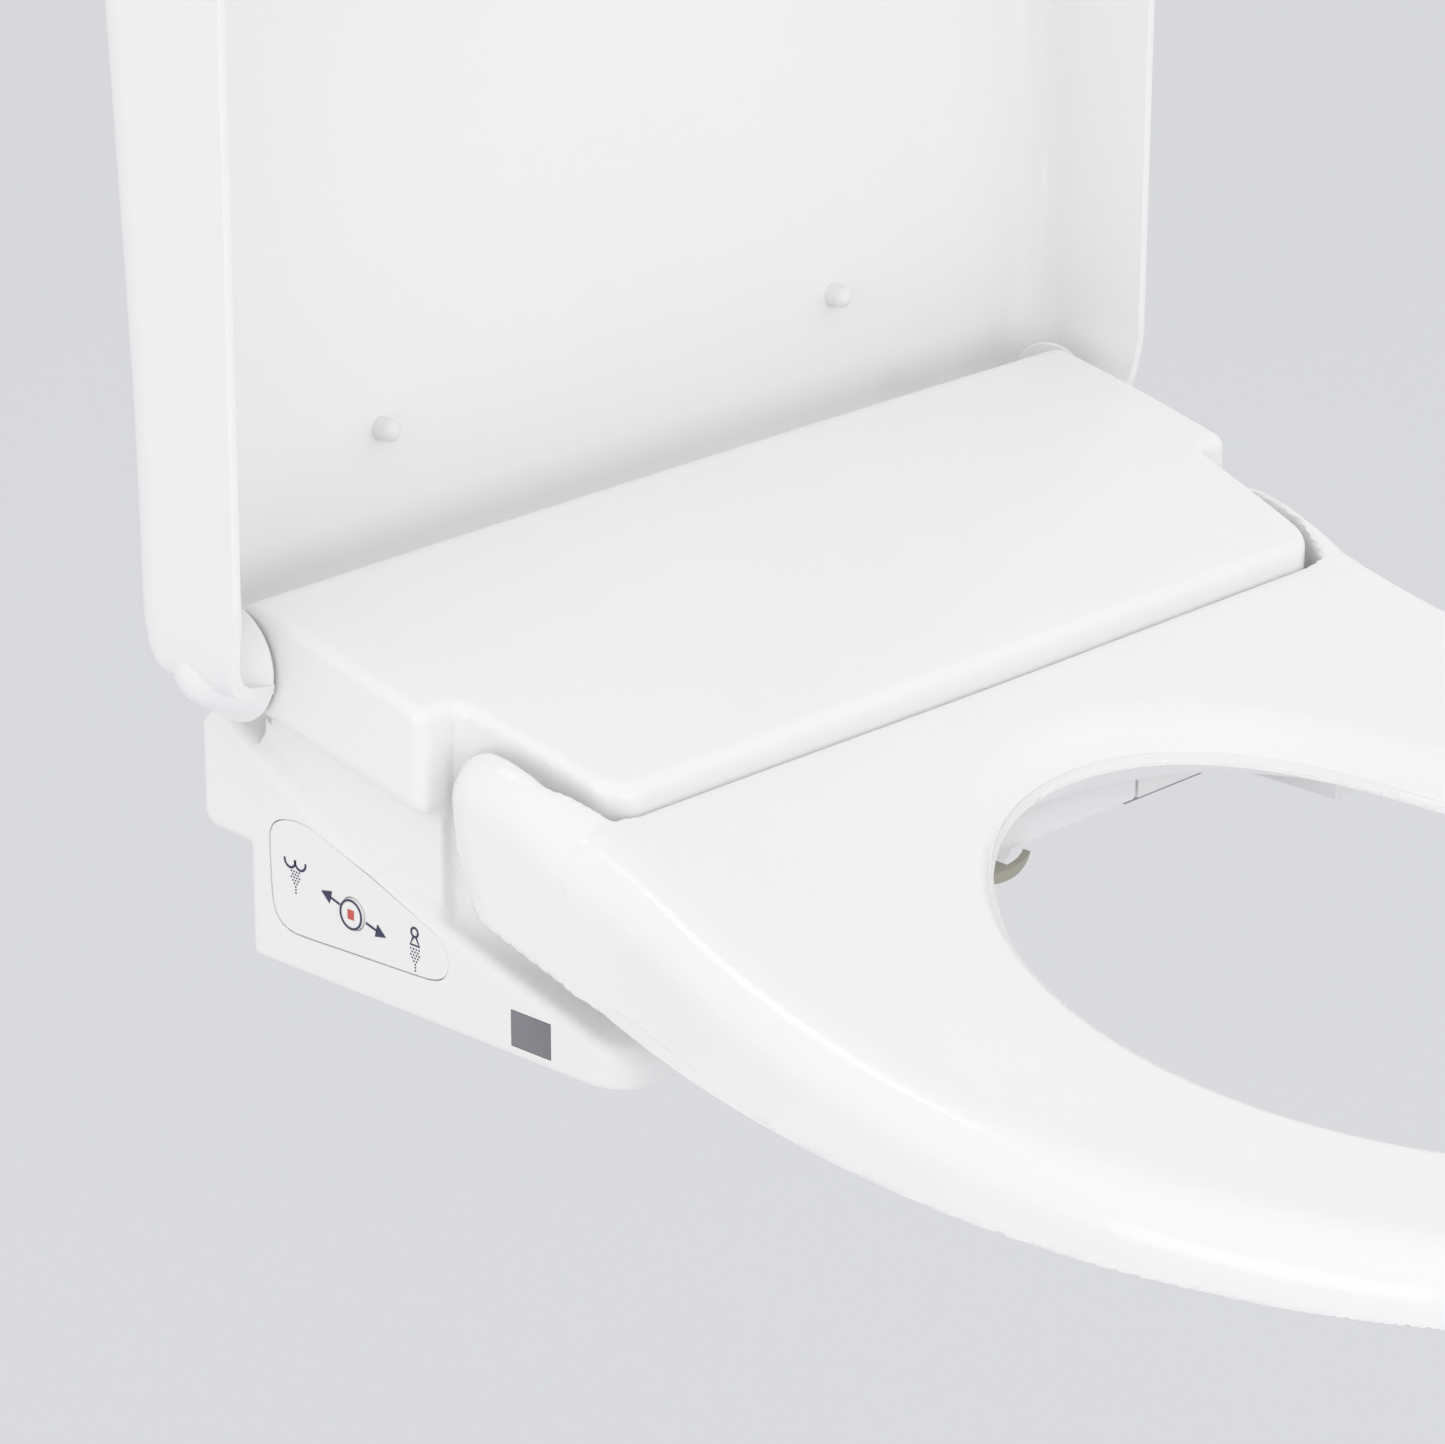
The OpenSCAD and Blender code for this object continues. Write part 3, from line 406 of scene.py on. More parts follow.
def lid_angles():
    """Steps of the direction round the lid, closer together at its rear corners."""
    out = []
    for start, end, step in LID_STEPS:
        count = round((end - start) / step)
        out += [math.radians(start + (end - start) * i / count) for i in range(count)]
    return out


def lid_mesh():
    angles = lid_angles()

    def ring(d, dw):
        return [lid_point(u, v, lid_back_w(v) + dw) for u, v in (lid_edge(a, d) for a in angles)]

    def rim(d, up):
        return [lid_point(u, v, LID_RIM + RIM_RISE * v + up) for u, v in (lid_edge(a, d) for a in angles)]

    inner = LID_ROUND - LID_T
    quarter = [k * math.pi / 24 for k in range(13)]
    lip = (0, 0.5, 1.0, math.pi / 2)
    rings = [ring(d, 0) for d in BACK_INSETS]
    rings += [ring(LID_ROUND * (1 - math.sin(t)), LID_ROUND * (1 - math.cos(t))) for t in quarter]
    rings += [rim(RIM_SOFT * (1 - math.cos(t)), RIM_SOFT * (math.sin(t) - 1)) for t in lip]
    rings += [rim(LID_T - RIM_SOFT * (1 - math.cos(t)), RIM_SOFT * (math.sin(t) - 1)) for t in reversed(lip)]
    for t in reversed(quarter):
        rings.append(ring(LID_T + inner * (1 - math.sin(t)), LID_T + inner * (1 - math.cos(t))))
    rings += [ring(d, LID_T) for d in reversed(BACK_INSETS)]
    middle = lid_back_w(LID_MID)
    return lofted("lid_shell", rings, (lid_point(0, LID_MID, middle), lid_point(0, LID_MID, middle + LID_T)))


def knuckle_mesh(side):
    """The disc inside each side wall that carries the lid's pin: a cone that ends in a ball."""
    edge = [k * math.pi / 8 for k in range(5)]
    soft = KNUCKLE_SOFT
    stations = [(soft * (1 - math.cos(t)), KNUCKLE_R - soft * (1 - math.sin(t))) for t in edge]
    reach = math.hypot(KNUCKLE_R, KNUCKLE_CENTRE)
    slope = math.acos(KNUCKLE_BALL / reach) - math.atan2(KNUCKLE_CENTRE, KNUCKLE_R)
    for k in range(13):
        t = slope + (math.pi / 2 - slope) * k / 12
        radius = max(KNUCKLE_BALL * math.cos(t), KNUCKLE_TIP)
        stations.append((KNUCKLE_CENTRE + KNUCKLE_BALL * math.sin(t), radius))
    return turned_mesh("knuckle", [(side * (KNUCKLE_IN + x), r) for x, r in stations], LID_FWD, LID_Z)


def build_lid():
    shell = temp(lid_mesh())
    wrap = box_mesh(-KNUCKLE_IN, KNUCKLE_IN, LID_FWD + WRAP_RIM, LID_FWD + WRAP_END,
        LID_Z + LID_REAR - SPARE, LID_Z + LID_REAR + WRAP_TOP)
    boolean(shell, temp(wrap), "DIFFERENCE")
    for side in (-1, 1):
        corner = prism("corner", LID_CORNER, side * (KNUCKLE_IN - SPARE), side * (LID_HW + SPARE))
        boolean(shell, temp(corner), "DIFFERENCE")
        boolean(shell, temp(knuckle_mesh(side)), "UNION")
    mesh = shell.data
    bpy.data.objects.remove(shell)
    lid = new_piece("lid_shell", mesh, "white_gloss", "lid", 32)
    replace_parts(lid, "lid")


# ---------- hinge bores, shared by the seat and the cover ----------
PIN_BORE, DAMPER_BORE, SHAFT_BORE = 4.05, 9.0, 4.3

# ---------- seat ----------
RING_HW, HOLE_HW, SEAT_FRONT, SEAT_FRONT_Z = 190.0, 107.0, 500.0, 28.0
RING_C, RING_CURVE, HOLE_C, HOLE_LEN = 258.0, 2.15, 300.5, 131.5
RING_ROUND, HOLE_ROUND, ARM_ROUND = 16.0, 14.0, 16.0
DISH = 2.5
SEAT_WALL, SMALL_ROUND, SEAM = 3.0, 1.8, 0.3
# heights of the ring's top and under side, which fall off forwards
SEAT_REAR, SEAT_REAR_Z, TOP_FALL, TOP_POWER = 137, 75, 121, 1.15
UNDER_FRONT_Z, UNDER_RISE, UNDER_FALL = 8, 21, 110
RIM_RISE_REAR, RIM_START, RIM_FALL, RIM_POWER = 26.3, 169, 104, 1.3
# the ring's sides draw in towards the hinge
SIDE_IN, SIDE_STEPS, SIDE_STEP, SIDE_EASE, SIDE_END = 12, 36, 3.3, 12, 108
# opening between the arms, where the cover's tongue lies
TONGUE_GAP_HW, TONGUE_GAP_FWD, TONGUE_GAP_ROUND = 157.2, 137.0, 9.0
RING_REAR, BASE_REAR, NO_CUT = 136.9, 136.8, -50.0
ARM_OUT, ARM_R, ARM_IN, ARM_TAPER, TAPER_START, TAPER_LEN = 178.0, 16.5, 166.5, 0.447, 118, 19
ARM_UNDER_Z, ARM_UNDER_FWD, ARM_UNDER_SLOPE, ARM_UNDER_ROUND = 43, 90, 0.297, 1.2
# where the pin's bore starts and ends in each arm
ARM_BORE = (PIN_BORE, 150, 176.3)
# cosines of sloping faces, by which a height becomes a distance
RING_TOP_COS, ARM_UNDER_COS = 0.95, 0.958
TINY = 1e-6


def top_z(f):
    fall = (np.maximum(0, f - SEAT_REAR) / TOP_FALL) ** TOP_POWER
    return SEAT_FRONT_Z - 1 + (SEAT_REAR_Z - SEAT_FRONT_Z) * np.exp(-fall)


def under_z(f):
    return UNDER_FRONT_Z + UNDER_RISE * np.exp(-(f - SEAT_REAR) / UNDER_FALL)


def rim_z(f):
    fall = (np.maximum(0, f - RIM_START) / RIM_FALL) ** RIM_POWER
    return under_z(f) + RIM_RISE_REAR * np.exp(-fall)


def ring_outline():
    """The seat's outer edge; behind its widest place the sides draw in a little and run back to the hinge."""
    points = []
    for k in range(121):
        a = math.pi * k / 120
        c, s = math.cos(a), math.sin(a)
        across, along = abs(c / RING_HW), abs(s / (SEAT_FRONT - RING_C))
        r = (across ** RING_CURVE + along ** RING_CURVE) ** (-1 / RING_CURVE)
        points.append((r * c, RING_C + r * s))
    slopes = [(1 - k / SIDE_STEPS) * min(1, k / SIDE_EASE) for k in range(SIDE_STEPS + 1)]
    side = []
    for k in range(SIDE_STEPS, -1, -1):
        hw = RING_HW - SIDE_IN * sum(slopes[k:]) / sum(slopes)
        side.append((hw, RING_C - SIDE_STEP * (SIDE_STEPS - k)))
    side.append((RING_HW - SIDE_IN, SIDE_END))
    return points + [(-x, f) for x, f in side] + [(x, f) for x, f in reversed(side)]


def arm_outline():
    """Side view of an arm in [fwd, z]: an arc about the hinge, the top falling to the ring, open downwards."""
    turn = [math.pi - k * math.pi / 24 for k in range(13)]
    points = [(SEAT_FWD + ARM_R * math.cos(a), SEAT_Z + ARM_R * math.sin(a)) for a in turn]
    points += [(105, 86.9), (112, 85.2), (118, 83.0), (125, 80.2), (131, 77.3), (137, 74.0), (141, 72.6)]
    return points + [(150, 67), (165, 57), (165, -20), (100, -20), (90, 43), (84.5, 55)]


RING_OUTLINE = ring_outline()
ARM_SIDE = arm_outline()


def arm_in(f):
    return ARM_IN - ARM_TAPER * np.clip(f - TAPER_START, 0, TAPER_LEN)


def seat_outer(x, f, z):
    """The ring and its two arms, and the surface that ends them below."""
    ax = np.abs(x)
    outer = outline(RING_OUTLINE, x, f)
    k = np.hypot(x / HOLE_HW, (f - HOLE_C) / HOLE_LEN)
    hole = k * (k - 1) / np.maximum(np.hypot(x / HOLE_HW ** 2, (f - HOLE_C) / HOLE_LEN ** 2), TINY)
    q = np.clip(hole / np.maximum(hole - outer, TINY), 0, 1)
    top = (z - top_z(f) + DISH * (1 - q)) * RING_TOP_COS
    tongue_gap = round_max(ax - TONGUE_GAP_HW, f - TONGUE_GAP_FWD, TONGUE_GAP_ROUND)
    ring = round_max(round_max(outer, top, RING_ROUND), -hole, HOLE_ROUND)
    ring = round_max(ring, -tongue_gap, SMALL_ROUND)
    ring = np.maximum(ring, RING_REAR - f)
    arm = round_max(outline(ARM_SIDE, f, z), ax - ARM_OUT, ARM_ROUND)
    arm = round_max(arm, arm_in(f) - ax, SMALL_ROUND)
    arm_under = (ARM_UNDER_Z - ARM_UNDER_SLOPE * (f - ARM_UNDER_FWD) - z) * ARM_UNDER_COS
    arm = round_max(arm, arm_under, ARM_UNDER_ROUND)
    base = under_z(f) + (rim_z(f) - under_z(f)) * (1 - q) - SEAM
    return round_min(ring, arm, 1.0), np.where(f > BASE_REAR, base - z, NO_CUT)


def seat_field(x, f, z):
    """The seat's upper skin, hollow and open below."""
    solid, base = seat_outer(x, f, z)
    shell = np.maximum(solid, -(solid + SEAT_WALL))
    pin = rod(f - SEAT_FWD, z - SEAT_Z, np.abs(x), *ARM_BORE)
    return np.maximum(round_max(shell, base, 1.0), -pin)


def build_seat():
    mesh = field_mesh("seat_skin", seat_field, (-193, 80, 6), (193, 503, 92), 1.5, 0.35)
    seat = new_piece("seat_skin", mesh, "seat_gloss", "seat", 40)
    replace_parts(seat, "seat_upper")


# ---------- housing ----------
RIDGE = ((0, 68), (20, 56), (53, 40), (100, 26.5), (150, 12.5))
COVER_REAR, SIDE_WALL_FWD, NOSE_FWD = 3, 78, 156
REAR_ROUND, EDGE_ROUND, REAR_BEVEL = 6.0, 3.6, 104.2
COVER_GAP, COVER_RIM_ROUND = 0.3, 0.8
# the deck falls away forwards from its rear edge, with a slight crown across
DECK_REAR, DECK_REAR_Z, DECK_FALL, DECK_CURVE = 9.5, 113.2, 0.1895, 0.000533
DECK_LEN, CROWN_REAR, CROWN_LOSS, CROWN_DROP = 124, 1.5, 0.7, 0.3
TONGUE_START, TONGUE_TAPER = 82.5, 0.1495
# under side of the shoulders
SHOULDER_Z, SHOULDER_FALL, SHOULDER_END = 80, 0.2194, 80.5
TONGUE_ROUND, TONGUE_FILLET, LOW_CORNER = 10.0, 3.0, 2.0
SHOULDER_CORNER, SHOULDER_UNDER_ROUND, SHOULDER_FILLET, BEVEL_ROUND = 4.0, 6.0, 5.0, 3.0
# cosines of sloping faces, by which a height becomes a distance
TONGUE_COS, SHOULDER_COS, DECK_COS, BEVEL_COS = 0.989, 0.977, 0.97, 0.7071
# bosses and bores of both hinges: radius, from x, to x
LID_BOSS = (12.0, 150, SHOULDER_HW)
SEAT_BOSS = (12.0, 126, 160.8)
LID_BORES = ((PIN_BORE, -185, -149), (DAMPER_BORE, 149, 185))
SEAT_BORES = ((PIN_BORE, 125, 170), (DAMPER_BORE, -158, -125), (SHAFT_BORE, -170, -157))
FLAP_OPENING = (70, 107, 130, 140, 10, 31.5)
# the tray: blocks are x0, x1, fwd0, fwd1, z0, z1
RECESS_HW = 146.0
NOSE_ROUND, FLANK_ROUND, BOTTOM_ROUND = 14.0, 4.0, 1.6
COVE_R, COVE_UP, COVE_REACH, COVE_BACK, COVE_DEPTH = 6.0, 2, 6, 4, 1.5
NOSE_WALL = (RECESS_HW, RECESS_HW + WALL, 96, 154, 0.5, 13)
PLATE_RIBS = ((101.5, 104.5, 3, 74, 1, 11), (-1, 104.5, 71.5, 74.5, 1, 11), (-1, 104.5, 3, 74.5, 8, 11))
SCREWS, SCREW_X, SCREW_BOSS, SCREW_WELL = (22, 70), 158, (5.0, 1, 30), (4.2, -1, 6)
# round openings: the two places of the axis, radius, from where, to where along it
RELEASE_BORE = (56, 14, 7.4, FLANK_HW - 5, FLANK_HW + 1)
GLAND_BORE = (110, 52, 7.05, -25, 2)
DRAIN_BORE = (60, 86, 6.05, -1, 5)
INLET_BORE = (140, -12, 6.55, 30, 50)
INNER_EDGE, INNER_Z = 9, 20
RECESS = (-1, RECESS_HW, 98, 160, -1, 40)
PLATE_WAY = (-1, 101.5, -1, 71.5, -1, 8)
FILTER_SLOT = (FLANK_HW - 5, FLANK_HW + 1, 85.5, 126.5, 2.9, 15.1)
FLANK_SIDE = ((0, -40), (NOSE_FWD, -40), (NOSE_FWD, 8)) + tuple(reversed(RIDGE))
FLANK_SIDE += ((-8, 74), (-14, 74), (-20, 68), (-20, 39), (-17, 35), (0, 34))


def ridge_z(f):
    """Height of the line where the cover meets the tray."""
    return np.interp(f, [p[0] for p in RIDGE], [p[1] for p in RIDGE])


def deck_h(x, f):
    """Height of the deck, with its slight crown across."""
    u = np.clip(f - DECK_REAR, -8, 130)
    crown = (CROWN_REAR - CROWN_LOSS * np.clip(u, 0, DECK_LEN) / DECK_LEN) * (1 - (x / SHOULDER_HW) ** 2)
    return DECK_REAR_Z - DECK_FALL * u - DECK_CURVE * u * u + crown - CROWN_DROP


def tongue_hw(f):
    return TONGUE_REAR_HW - TONGUE_TAPER * np.clip(f - TONGUE_START, 0, 60)


def low_plan(x, f):
    """Plan of the cover below its shoulders."""
    ax = np.abs(x)
    tongue = round_max((ax - tongue_hw(f)) * TONGUE_COS, f - TONGUE_FWD, TONGUE_ROUND)
    rear = round_max(ax - LOW_HW, f - SIDE_WALL_FWD, LOW_CORNER)
    return round_min(tongue, rear, TONGUE_FILLET)


def cover_outer(x, f, z):
    """The cover as if solid: tongue, shoulders, deck and the bevelled rear edge that the lid turns past."""
    shoulder = round_max(np.abs(x) - SHOULDER_HW, f - SHOULDER_END, SHOULDER_CORNER)
    under = (SHOULDER_Z - SHOULDER_FALL * (f - COVER_REAR) - z) * SHOULDER_COS
    shoulder = round_max(shoulder, under, SHOULDER_UNDER_ROUND)
    sides = round_min(low_plan(x, f), shoulder, SHOULDER_FILLET)
    solid = round_max(sides, (z - deck_h(x, f)) * DECK_COS, EDGE_ROUND)
    solid = round_max(solid, COVER_REAR - f, REAR_ROUND)
    return round_max(solid, (z - f - REAR_BEVEL) * BEVEL_COS, BEVEL_ROUND)


def cover_field(x, f, z):
    """The cover's shell with the bosses and bores of both hinges."""
    ax = np.abs(x)
    solid = cover_outer(x, f, z)
    shell = np.maximum(solid, -(solid + WALL))
    shell = round_max(shell, ridge_z(f) + COVER_GAP - z, COVER_RIM_ROUND)
    shell = np.minimum(shell, rod(f - LID_FWD, z - LID_Z, ax, *LID_BOSS))
    shell = np.minimum(shell, rod(f - SEAT_FWD, z - SEAT_Z, ax, *SEAT_BOSS))
    for bore in LID_BORES:
        shell = np.maximum(shell, -rod(f - LID_FWD, z - LID_Z, x, *bore))
    for bore in SEAT_BORES:
        shell = np.maximum(shell, -rod(f - SEAT_FWD, z - SEAT_Z, x, *bore))
    return np.maximum(shell, -block(x, f, z, *FLAP_OPENING))


def tray_outer(x, f, z):
    plan = round_max(np.abs(x) - FLANK_HW, f - NOSE_FWD, NOSE_ROUND)
    solid = round_max(plan, outline(FLANK_SIDE, f, z), FLANK_ROUND)
    return round_max(solid, -z, BOTTOM_ROUND)


def tray_cove(solid, low, f, z):
    """The hollow curve by which the flanks run up into the cover's sides, kept near the ridge."""
    near = np.maximum(-COVE_DEPTH - low, np.abs(z - ridge_z(f) - COVE_UP) - COVE_REACH)
    cove = np.maximum(round_min(solid, low + COVER_GAP, COVE_R), near)
    return np.maximum(cove, COVE_BACK - f)


def bored(u, v, along, bore):
    """One of the round openings, its axis at a place (u, v)."""
    u0, v0, radius, start, end = bore
    return rod(u - u0, v - v0, along, radius, start, end)


def tray_field(x, f, z):
    """The tray's shell with its inner walls, screw bosses and openings."""
    ax = np.abs(x)
    solid = tray_outer(x, f, z)
    low = low_plan(x, f)
    shell = np.maximum(np.minimum(solid, tray_cove(solid, low, f, z)), -(solid + WALL))
    for rib in (NOSE_WALL, *PLATE_RIBS):
        shell = np.minimum(shell, block(ax, f, z, *rib))
    for place in SCREWS:
        shell = np.minimum(shell, rod(ax - SCREW_X, f - place, z, *SCREW_BOSS))
        shell = np.maximum(shell, -rod(ax - SCREW_X, f - place, z, *SCREW_WELL))
    inner = np.maximum(low, COVER_REAR - f) + INNER_EDGE
    shell = np.maximum(shell, -np.maximum(inner, INNER_Z - z))
    shell = np.maximum(shell, -block(ax, f, z, *RECESS))
    shell = np.maximum(shell, -block(ax, f, z, *PLATE_WAY))
    shell = np.maximum(shell, -block(x, f, z, *FILTER_SLOT))
    shell = np.maximum(shell, -bored(f, z, x, RELEASE_BORE))
    shell = np.maximum(shell, -bored(x, z, f, GLAND_BORE))
    shell = np.maximum(shell, -bored(x, f, z, DRAIN_BORE))
    return np.maximum(shell, -bored(x, f, z, INLET_BORE))


def build_cover():
    mesh = field_mesh("cover_shell", cover_field, (-182, -10, 14), (182, 138, 117), 1.25, 0.4)
    cover = new_piece("cover_shell", mesh, "white_gloss", "housing", 40)
    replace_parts(cover, "top_cover")


def build_tray():
    shell = temp(field_mesh("tray_shell", tray_field, (-176, -22, -2), (176, 158, 77), 1.25, 0.4))
    boolean(shell, temp(panel_mesh(0.0, -FLANK_HW - SPARE, -FLANK_HW + PANEL_DEPTH, 0.0)), "DIFFERENCE")
    boolean(shell, temp(box_mesh(-FLANK_HW - SPARE, -FLANK_HW + PANEL_DEPTH, *WINDOW)), "DIFFERENCE")
    mesh = shell.data
    bpy.data.objects.remove(shell)
    tray = new_piece("tray_shell", mesh, "ivory_satin", "housing", 40)
    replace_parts(tray, "base_tray")


# ---------- control panel ----------
WINDOW = (110.6, 126.7, 3.2, 14.4)
PANEL_DEPTH = 6
ROCKER_GAP, ROCKER_T, ROCKER_EDGE = 0.25, 3, 0.5
STOP_X = -FLANK_HW - 0.95
STOP_FWD, STOP_Z, STOP_R, STOP_GAP = 45.5, 25.0, 4.9, 0.3
MARK_X, MARK_T, LINE_W, FINE_LINE_W = -FLANK_HW - 0.1, 0.2, 0.75, 0.7
# outline of the rocker and its opening, in [fwd, z]
PANEL = ((9.8, 38), (10.2, 42), (12.4, 45), (17, 46.9), (24, 47.6), (30, 46.6), (78, 29.6), (82, 27.6),
    (84.6, 24.8), (85.5, 21.4), (85.2, 18.0), (83.2, 15.4), (79.6, 13.7), (74, 13.1), (42, 12.1), (22, 11.3),
    (17, 11.9), (13, 14.2), (10.8, 18.0), (10.2, 24))


def panel_mesh(shrink, x0, x1, edge):
    """A plate in the outline of the rocker, its outer edge rounded by edge."""
    cf = sum(p[0] for p in PANEL) / len(PANEL)
    cz = sum(p[1] for p in PANEL) / len(PANEL)
    rounded = smooth_loop(PANEL, 3)
    n = len(rounded)

    def ring(x, inset):
        out = []
        for i, (f, z) in enumerate(rounded):
            before, after = rounded[i - 1], rounded[(i + 1) % n]
            tf, tz = after[0] - before[0], after[1] - before[1]
            size = math.hypot(tf, tz)
            nf, nz = tz / size, -tf / size
            if nf * (cf - f) + nz * (cz - z) < 0:
                nf, nz = -nf, -nz
            out.append(at(x, f + nf * inset, z + nz * inset))
        return out

    steps = [k * math.pi / 8 for k in range(5)] if edge else [math.pi / 2]
    rings = [ring(x0 + edge * (1 - math.sin(t)), shrink + edge * (1 - math.cos(t))) for t in reversed(steps)]
    return lofted("panel", rings + [ring(x1, shrink)], (at(x0, cf, cz), at(x1, cf, cz)))


def smooth_loop(points, rounds):
    """Cuts the corners of a closed outline again and again."""
    for _ in range(rounds):
        out = []
        for (a, b), (c, d) in zip(points, points[1:] + points[:1]):
            out += [(a * 0.75 + c * 0.25, b * 0.75 + d * 0.25), (a * 0.25 + c * 0.75, b * 0.25 + d * 0.75)]
        points = tuple(out)
    return points


def build_rocker():
    plate = temp(panel_mesh(ROCKER_GAP, -FLANK_HW, -FLANK_HW + ROCKER_T, ROCKER_EDGE))
    ends = [(x, STOP_R + STOP_GAP) for x in (-FLANK_HW - SPARE, -FLANK_HW + ROCKER_T + SPARE)]
    boolean(plate, temp(turned_mesh("hole", ends, STOP_FWD, STOP_Z)), "DIFFERENCE")
    mesh = plate.data
    bpy.data.objects.remove(plate)
    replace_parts(new_piece("rocker_plate", mesh, "ivory_satin", "rocker"), "control_rocker")


def stroke_points(points, width):
    """Left and right side of a line of the given width in the flank's plane."""
    left, right = [], []
    for i, (f, z) in enumerate(points):
        f0, z0 = points[max(i - 1, 0)]
        f1, z1 = points[min(i + 1, len(points) - 1)]
        size = math.hypot(f1 - f0, z1 - z0)
        nf, nz = -(z1 - z0) / size * width / 2, (f1 - f0) / size * width / 2
        left.append((f + nf, z + nz))
        right.append((f - nf, z - nz))
    return left, right


def arc(f, z, r, start, end, steps=18):
    turn = [math.radians(start + (end - start) * k / steps) for k in range(steps + 1)]
    return [(f + r * math.cos(a), z + r * math.sin(a)) for a in turn]


def printed(name, strokes, color_slot, body, x):
    """Printed marks on the flank with the controls, as very thin raised strips."""
    points, faces = [], []
    for line, width in strokes:
        left, right = stroke_points(line, width)
        base = len(points)
        for (lf, lz), (rf, rz) in zip(left, right):
            points += [at(x, lf, lz), at(x, rf, rz), at(x + MARK_T, rf, rz), at(x + MARK_T, lf, lz)]
        for i in range(len(line) - 1):
            a, b = base + 4 * i, base + 4 * i + 4
            faces += [(a + k, a + (k + 1) % 4, b + (k + 1) % 4, b + k) for k in range(4)]
        end = base + 4 * (len(line) - 1)
        faces += [(base + 3, base + 2, base + 1, base), (end, end + 1, end + 2, end + 3)]
    return new_piece(name, mesh_from(name, points, faces), color_slot, body)


SPRAY_ROWS = (4, 3, 4, 3, 2, 1, 1, 1)
DOT, DOT_PITCH, ROW_PITCH = 0.5, 1.15, 0.95
HEAD_STRIPS = 8


def spray(f, z):
    """Dots in rows that get narrower downwards."""
    out = []
    for row, count in enumerate(SPRAY_ROWS):
        height = z - ROW_PITCH * row
        for k in range(count):
            df = (k - (count - 1) / 2) * DOT_PITCH
            out.append(([(f + df - DOT / 2, height), (f + df + DOT / 2, height)], DOT))
    return out


def arrow_head(f, z, df, dz):
    """A filled triangle: strips that get shorter towards the tip."""
    out = []
    for k in range(HEAD_STRIPS):
        half = 0.5 * (1 - k / HEAD_STRIPS)
        mf, mz = f + df * k / HEAD_STRIPS, z + dz * k / HEAD_STRIPS
        out.append(([(mf - dz * half, mz + df * half), (mf + dz * half, mz - df * half)], DOT))
    return out


def rear_sign():
    return [(arc(f, 34.6, 2.3, 170, 370), LINE_W) for f in (18.9, 23.3)] + spray(21.1, 31.4)


def front_sign():
    body = [(70.9, 25.0), (69.6, 22.6), (73.4, 22.6), (72.1, 25.0)]
    return [(arc(71.5, 26.6, 1.4, 0, 360), FINE_LINE_W), (body, FINE_LINE_W)] + spray(71.5, 21.4)


def double_arrow():
    lines = [([(36.0, 27.6), (40.0, 26.45)], LINE_W), ([(51.0, 23.75), (55.5, 22.6)], LINE_W)]
    return lines + arrow_head(36.0, 27.6, -3.9, 1.1) + arrow_head(55.5, 22.6, 3.9, -1.1)


def build_marks():
    printed("wash_marks", rear_sign() + front_sign() + double_arrow(), "ink", "rocker", MARK_X)
    circle = arc(STOP_FWD, STOP_Z, STOP_R - 0.5, 0, 360, 48)
    printed("stop_ring", [(circle, FINE_LINE_W)], "ink", "stop", STOP_X)
    square = [(STOP_FWD - 1.3, STOP_Z), (STOP_FWD + 1.3, STOP_Z)]
    printed("stop_square", [(square, 3.0)], "red_ink", "stop", STOP_X)


# ---------- pads of the lid ----------
PAD_V, PAD_X, PAD_R, PAD_H, PAD_SINK = 47.0, 99.0, 3.6, 7.2, 0.5


def pad_mesh(side):
    """One of the lid's white pads with its domed end."""
    base = LID_FWD + lid_back_w(PAD_V) + LID_T - PAD_SINK
    tip = base + PAD_H + PAD_SINK
    x, z = side * PAD_X, LID_Z + PAD_V
    stations = [(base, PAD_R)]
    for t in (k * math.pi / 20 for k in range(10)):
        stations.append((tip - PAD_R * (1 - math.sin(t)), PAD_R * math.cos(t)))
    turn = [2 * math.pi * i / 40 for i in range(40)]
    rings = [[at(x + r * math.cos(a), f, z + r * math.sin(a)) for a in turn] for f, r in stations]
    return lofted("pad", rings, (at(x, base, z), at(x, tip, z)))


def build_pads():
    for name, side in (("lid_pad_left", -1), ("lid_pad_right", 1)):
        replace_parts(new_piece(name, pad_mesh(side), "pad_white", "lid"), "lid_bumpers")


# ---------- stage ----------
FLOOR_Z, FLOOR_HALF = -0.55, 30
FLOOR_TONES = ((0.722, 0.730, 0.757), (0.724, 0.732, 0.759))
STUDIO_COLOR, STUDIO_STRENGTH = (1.0, 0.997, 0.992, 1), 0.93


def area_light(name, place, aim, size, power):
    data = bpy.data.lights.new(name, "AREA")
    data.shape = "RECTANGLE"
    data.size, data.size_y = size
    data.energy = power
    obj = bpy.data.objects.new(name, data)
    bpy.context.scene.collection.objects.link(obj)
    obj.location = place
    obj.rotation_mode = "QUATERNION"
    obj.rotation_quaternion = (Vector(aim) - Vector(place)).to_track_quat("-Z", "Y")


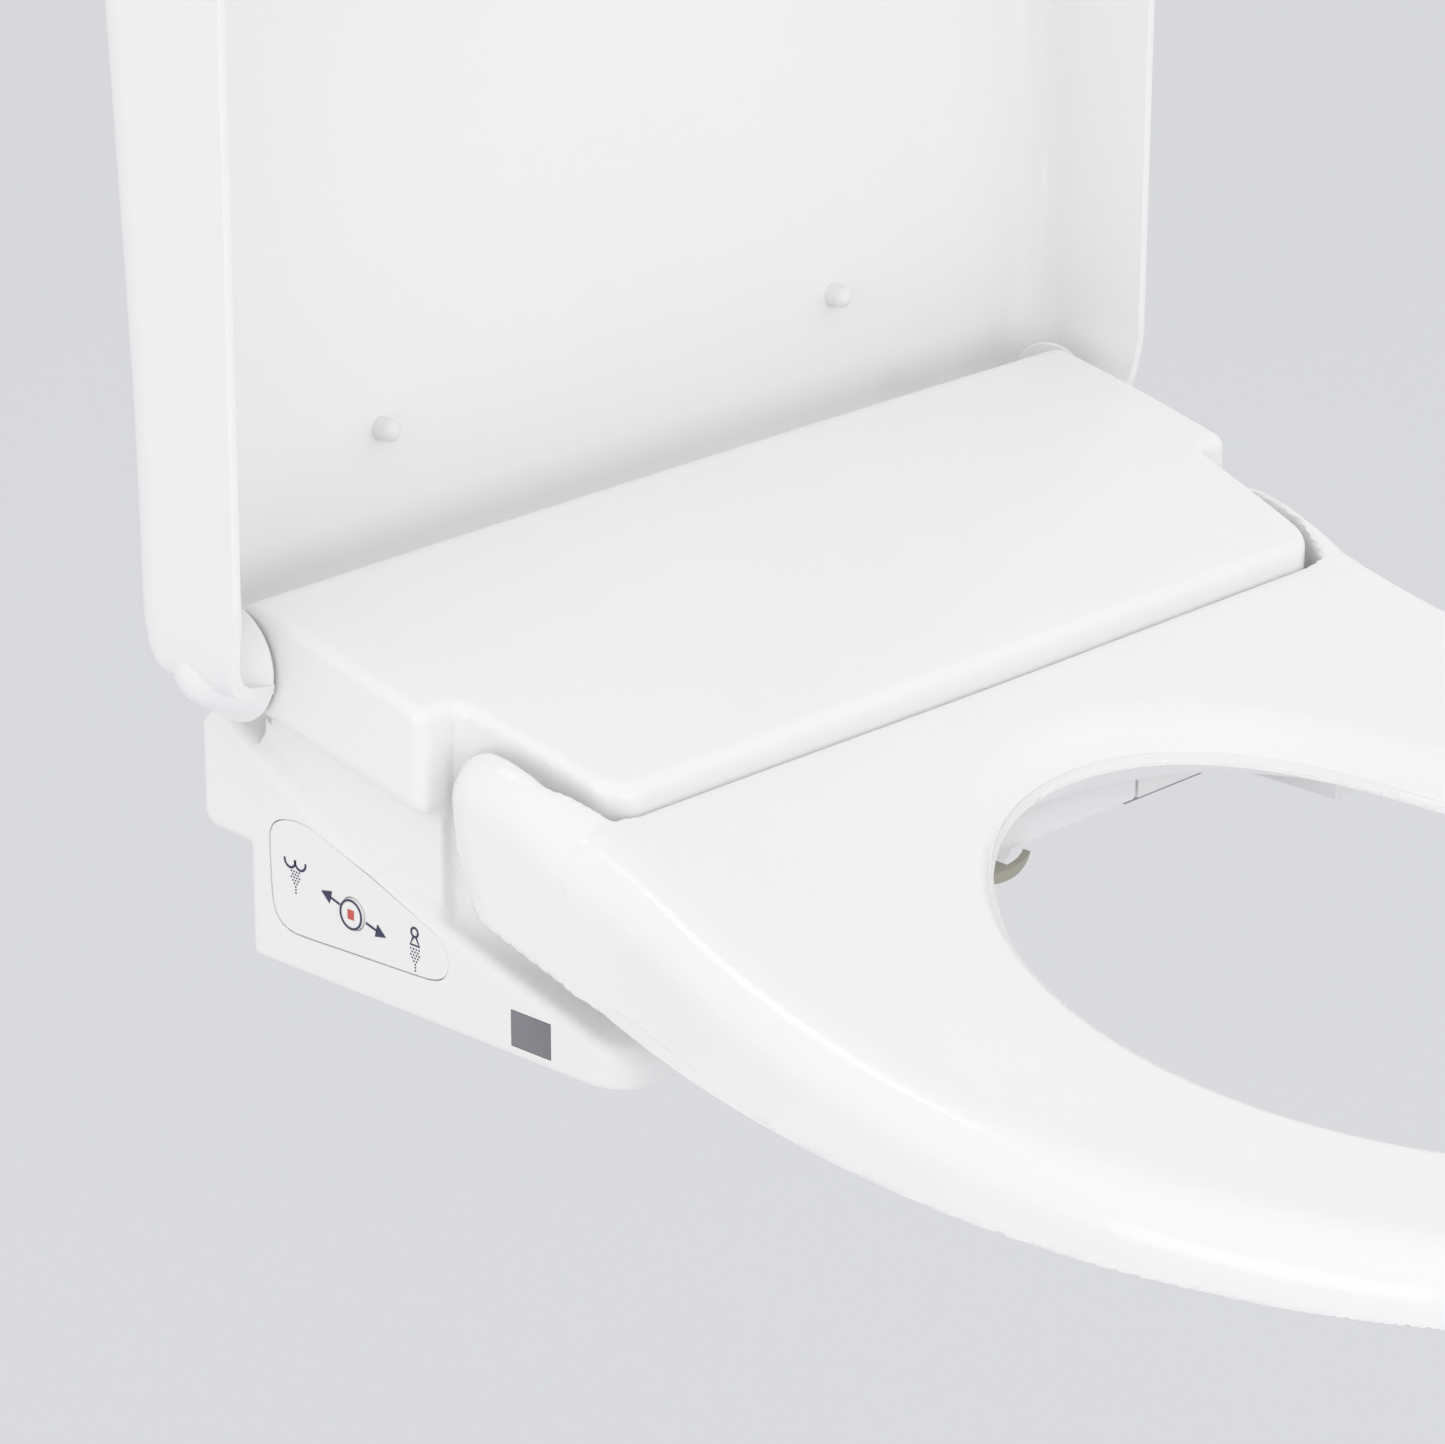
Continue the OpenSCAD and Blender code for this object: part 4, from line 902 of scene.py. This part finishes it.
def build_floor():
    corners = [(x * FLOOR_HALF, y * FLOOR_HALF, FLOOR_Z) for x, y in ((-1, -1), (1, -1), (1, 1), (-1, 1))]
    floor = temp(mesh_from("floor", corners, [(0, 1, 2, 3)]))
    floor.name = "floor"
    t = Tree("floor")
    t.bsdf.inputs["Roughness"].default_value = 0.9
    t.bsdf.inputs["Specular IOR Level"].default_value = 0.1
    t.link(t.two_tone(t.spread(t.noise(3.0), 0.0, 1.0), *FLOOR_TONES), t.bsdf.inputs["Base Color"])
    floor.data.materials.append(t.mat)


def build_light():
    world = bpy.data.worlds.new("studio")
    world.use_nodes = True
    background = world.node_tree.nodes["Background"]
    background.inputs["Color"].default_value = STUDIO_COLOR
    background.inputs["Strength"].default_value = STUDIO_STRENGTH
    bpy.context.scene.world = world
    area_light("key", (-0.5, 0.9, 2.2), (0, -0.2, 0.1), (0.5, 0.5), 1.3)
    area_light("fill", (1.8, -1.4, 1.4), (0, -0.1, 0.1), (1.2, 1.2), 0.8)
    area_light("side", (-2.8, -0.8, 0.35), (0, 0, 0.1), (2.0, 1.2), 8.5)
    area_light("front", (-0.4, -2.8, 0.4), (0, 0, 0.2), (2.0, 1.2), 8)
    bpy.context.scene.view_settings.view_transform = "Standard"


def build_camera():
    """A long lens from the front left, a little above the part."""
    azimuth, elevation, distance = math.radians(-46.318), math.radians(20.32), 1.7033
    target = Vector((-0.05884, -0.04438, 0.06318))
    level = math.cos(elevation)
    back = Vector((math.sin(azimuth) * level, -math.cos(azimuth) * level, math.sin(elevation)))
    data = bpy.data.cameras.new("camera")
    data.sensor_width = 36.0
    data.lens = 143.75
    data.shift_x, data.shift_y = -0.0108, 0.0030
    cam = bpy.data.objects.new("camera", data)
    bpy.context.scene.collection.objects.link(cam)
    cam.location = target + back * distance
    cam.rotation_mode = "QUATERNION"
    cam.rotation_quaternion = (-back).to_track_quat("-Z", "Y")
    bpy.context.scene.camera = cam


dress_cad_nodes()
build_lid()
build_seat()
build_cover()
build_tray()
build_pads()
build_rocker()
build_marks()
build_floor()
build_light()
build_camera()
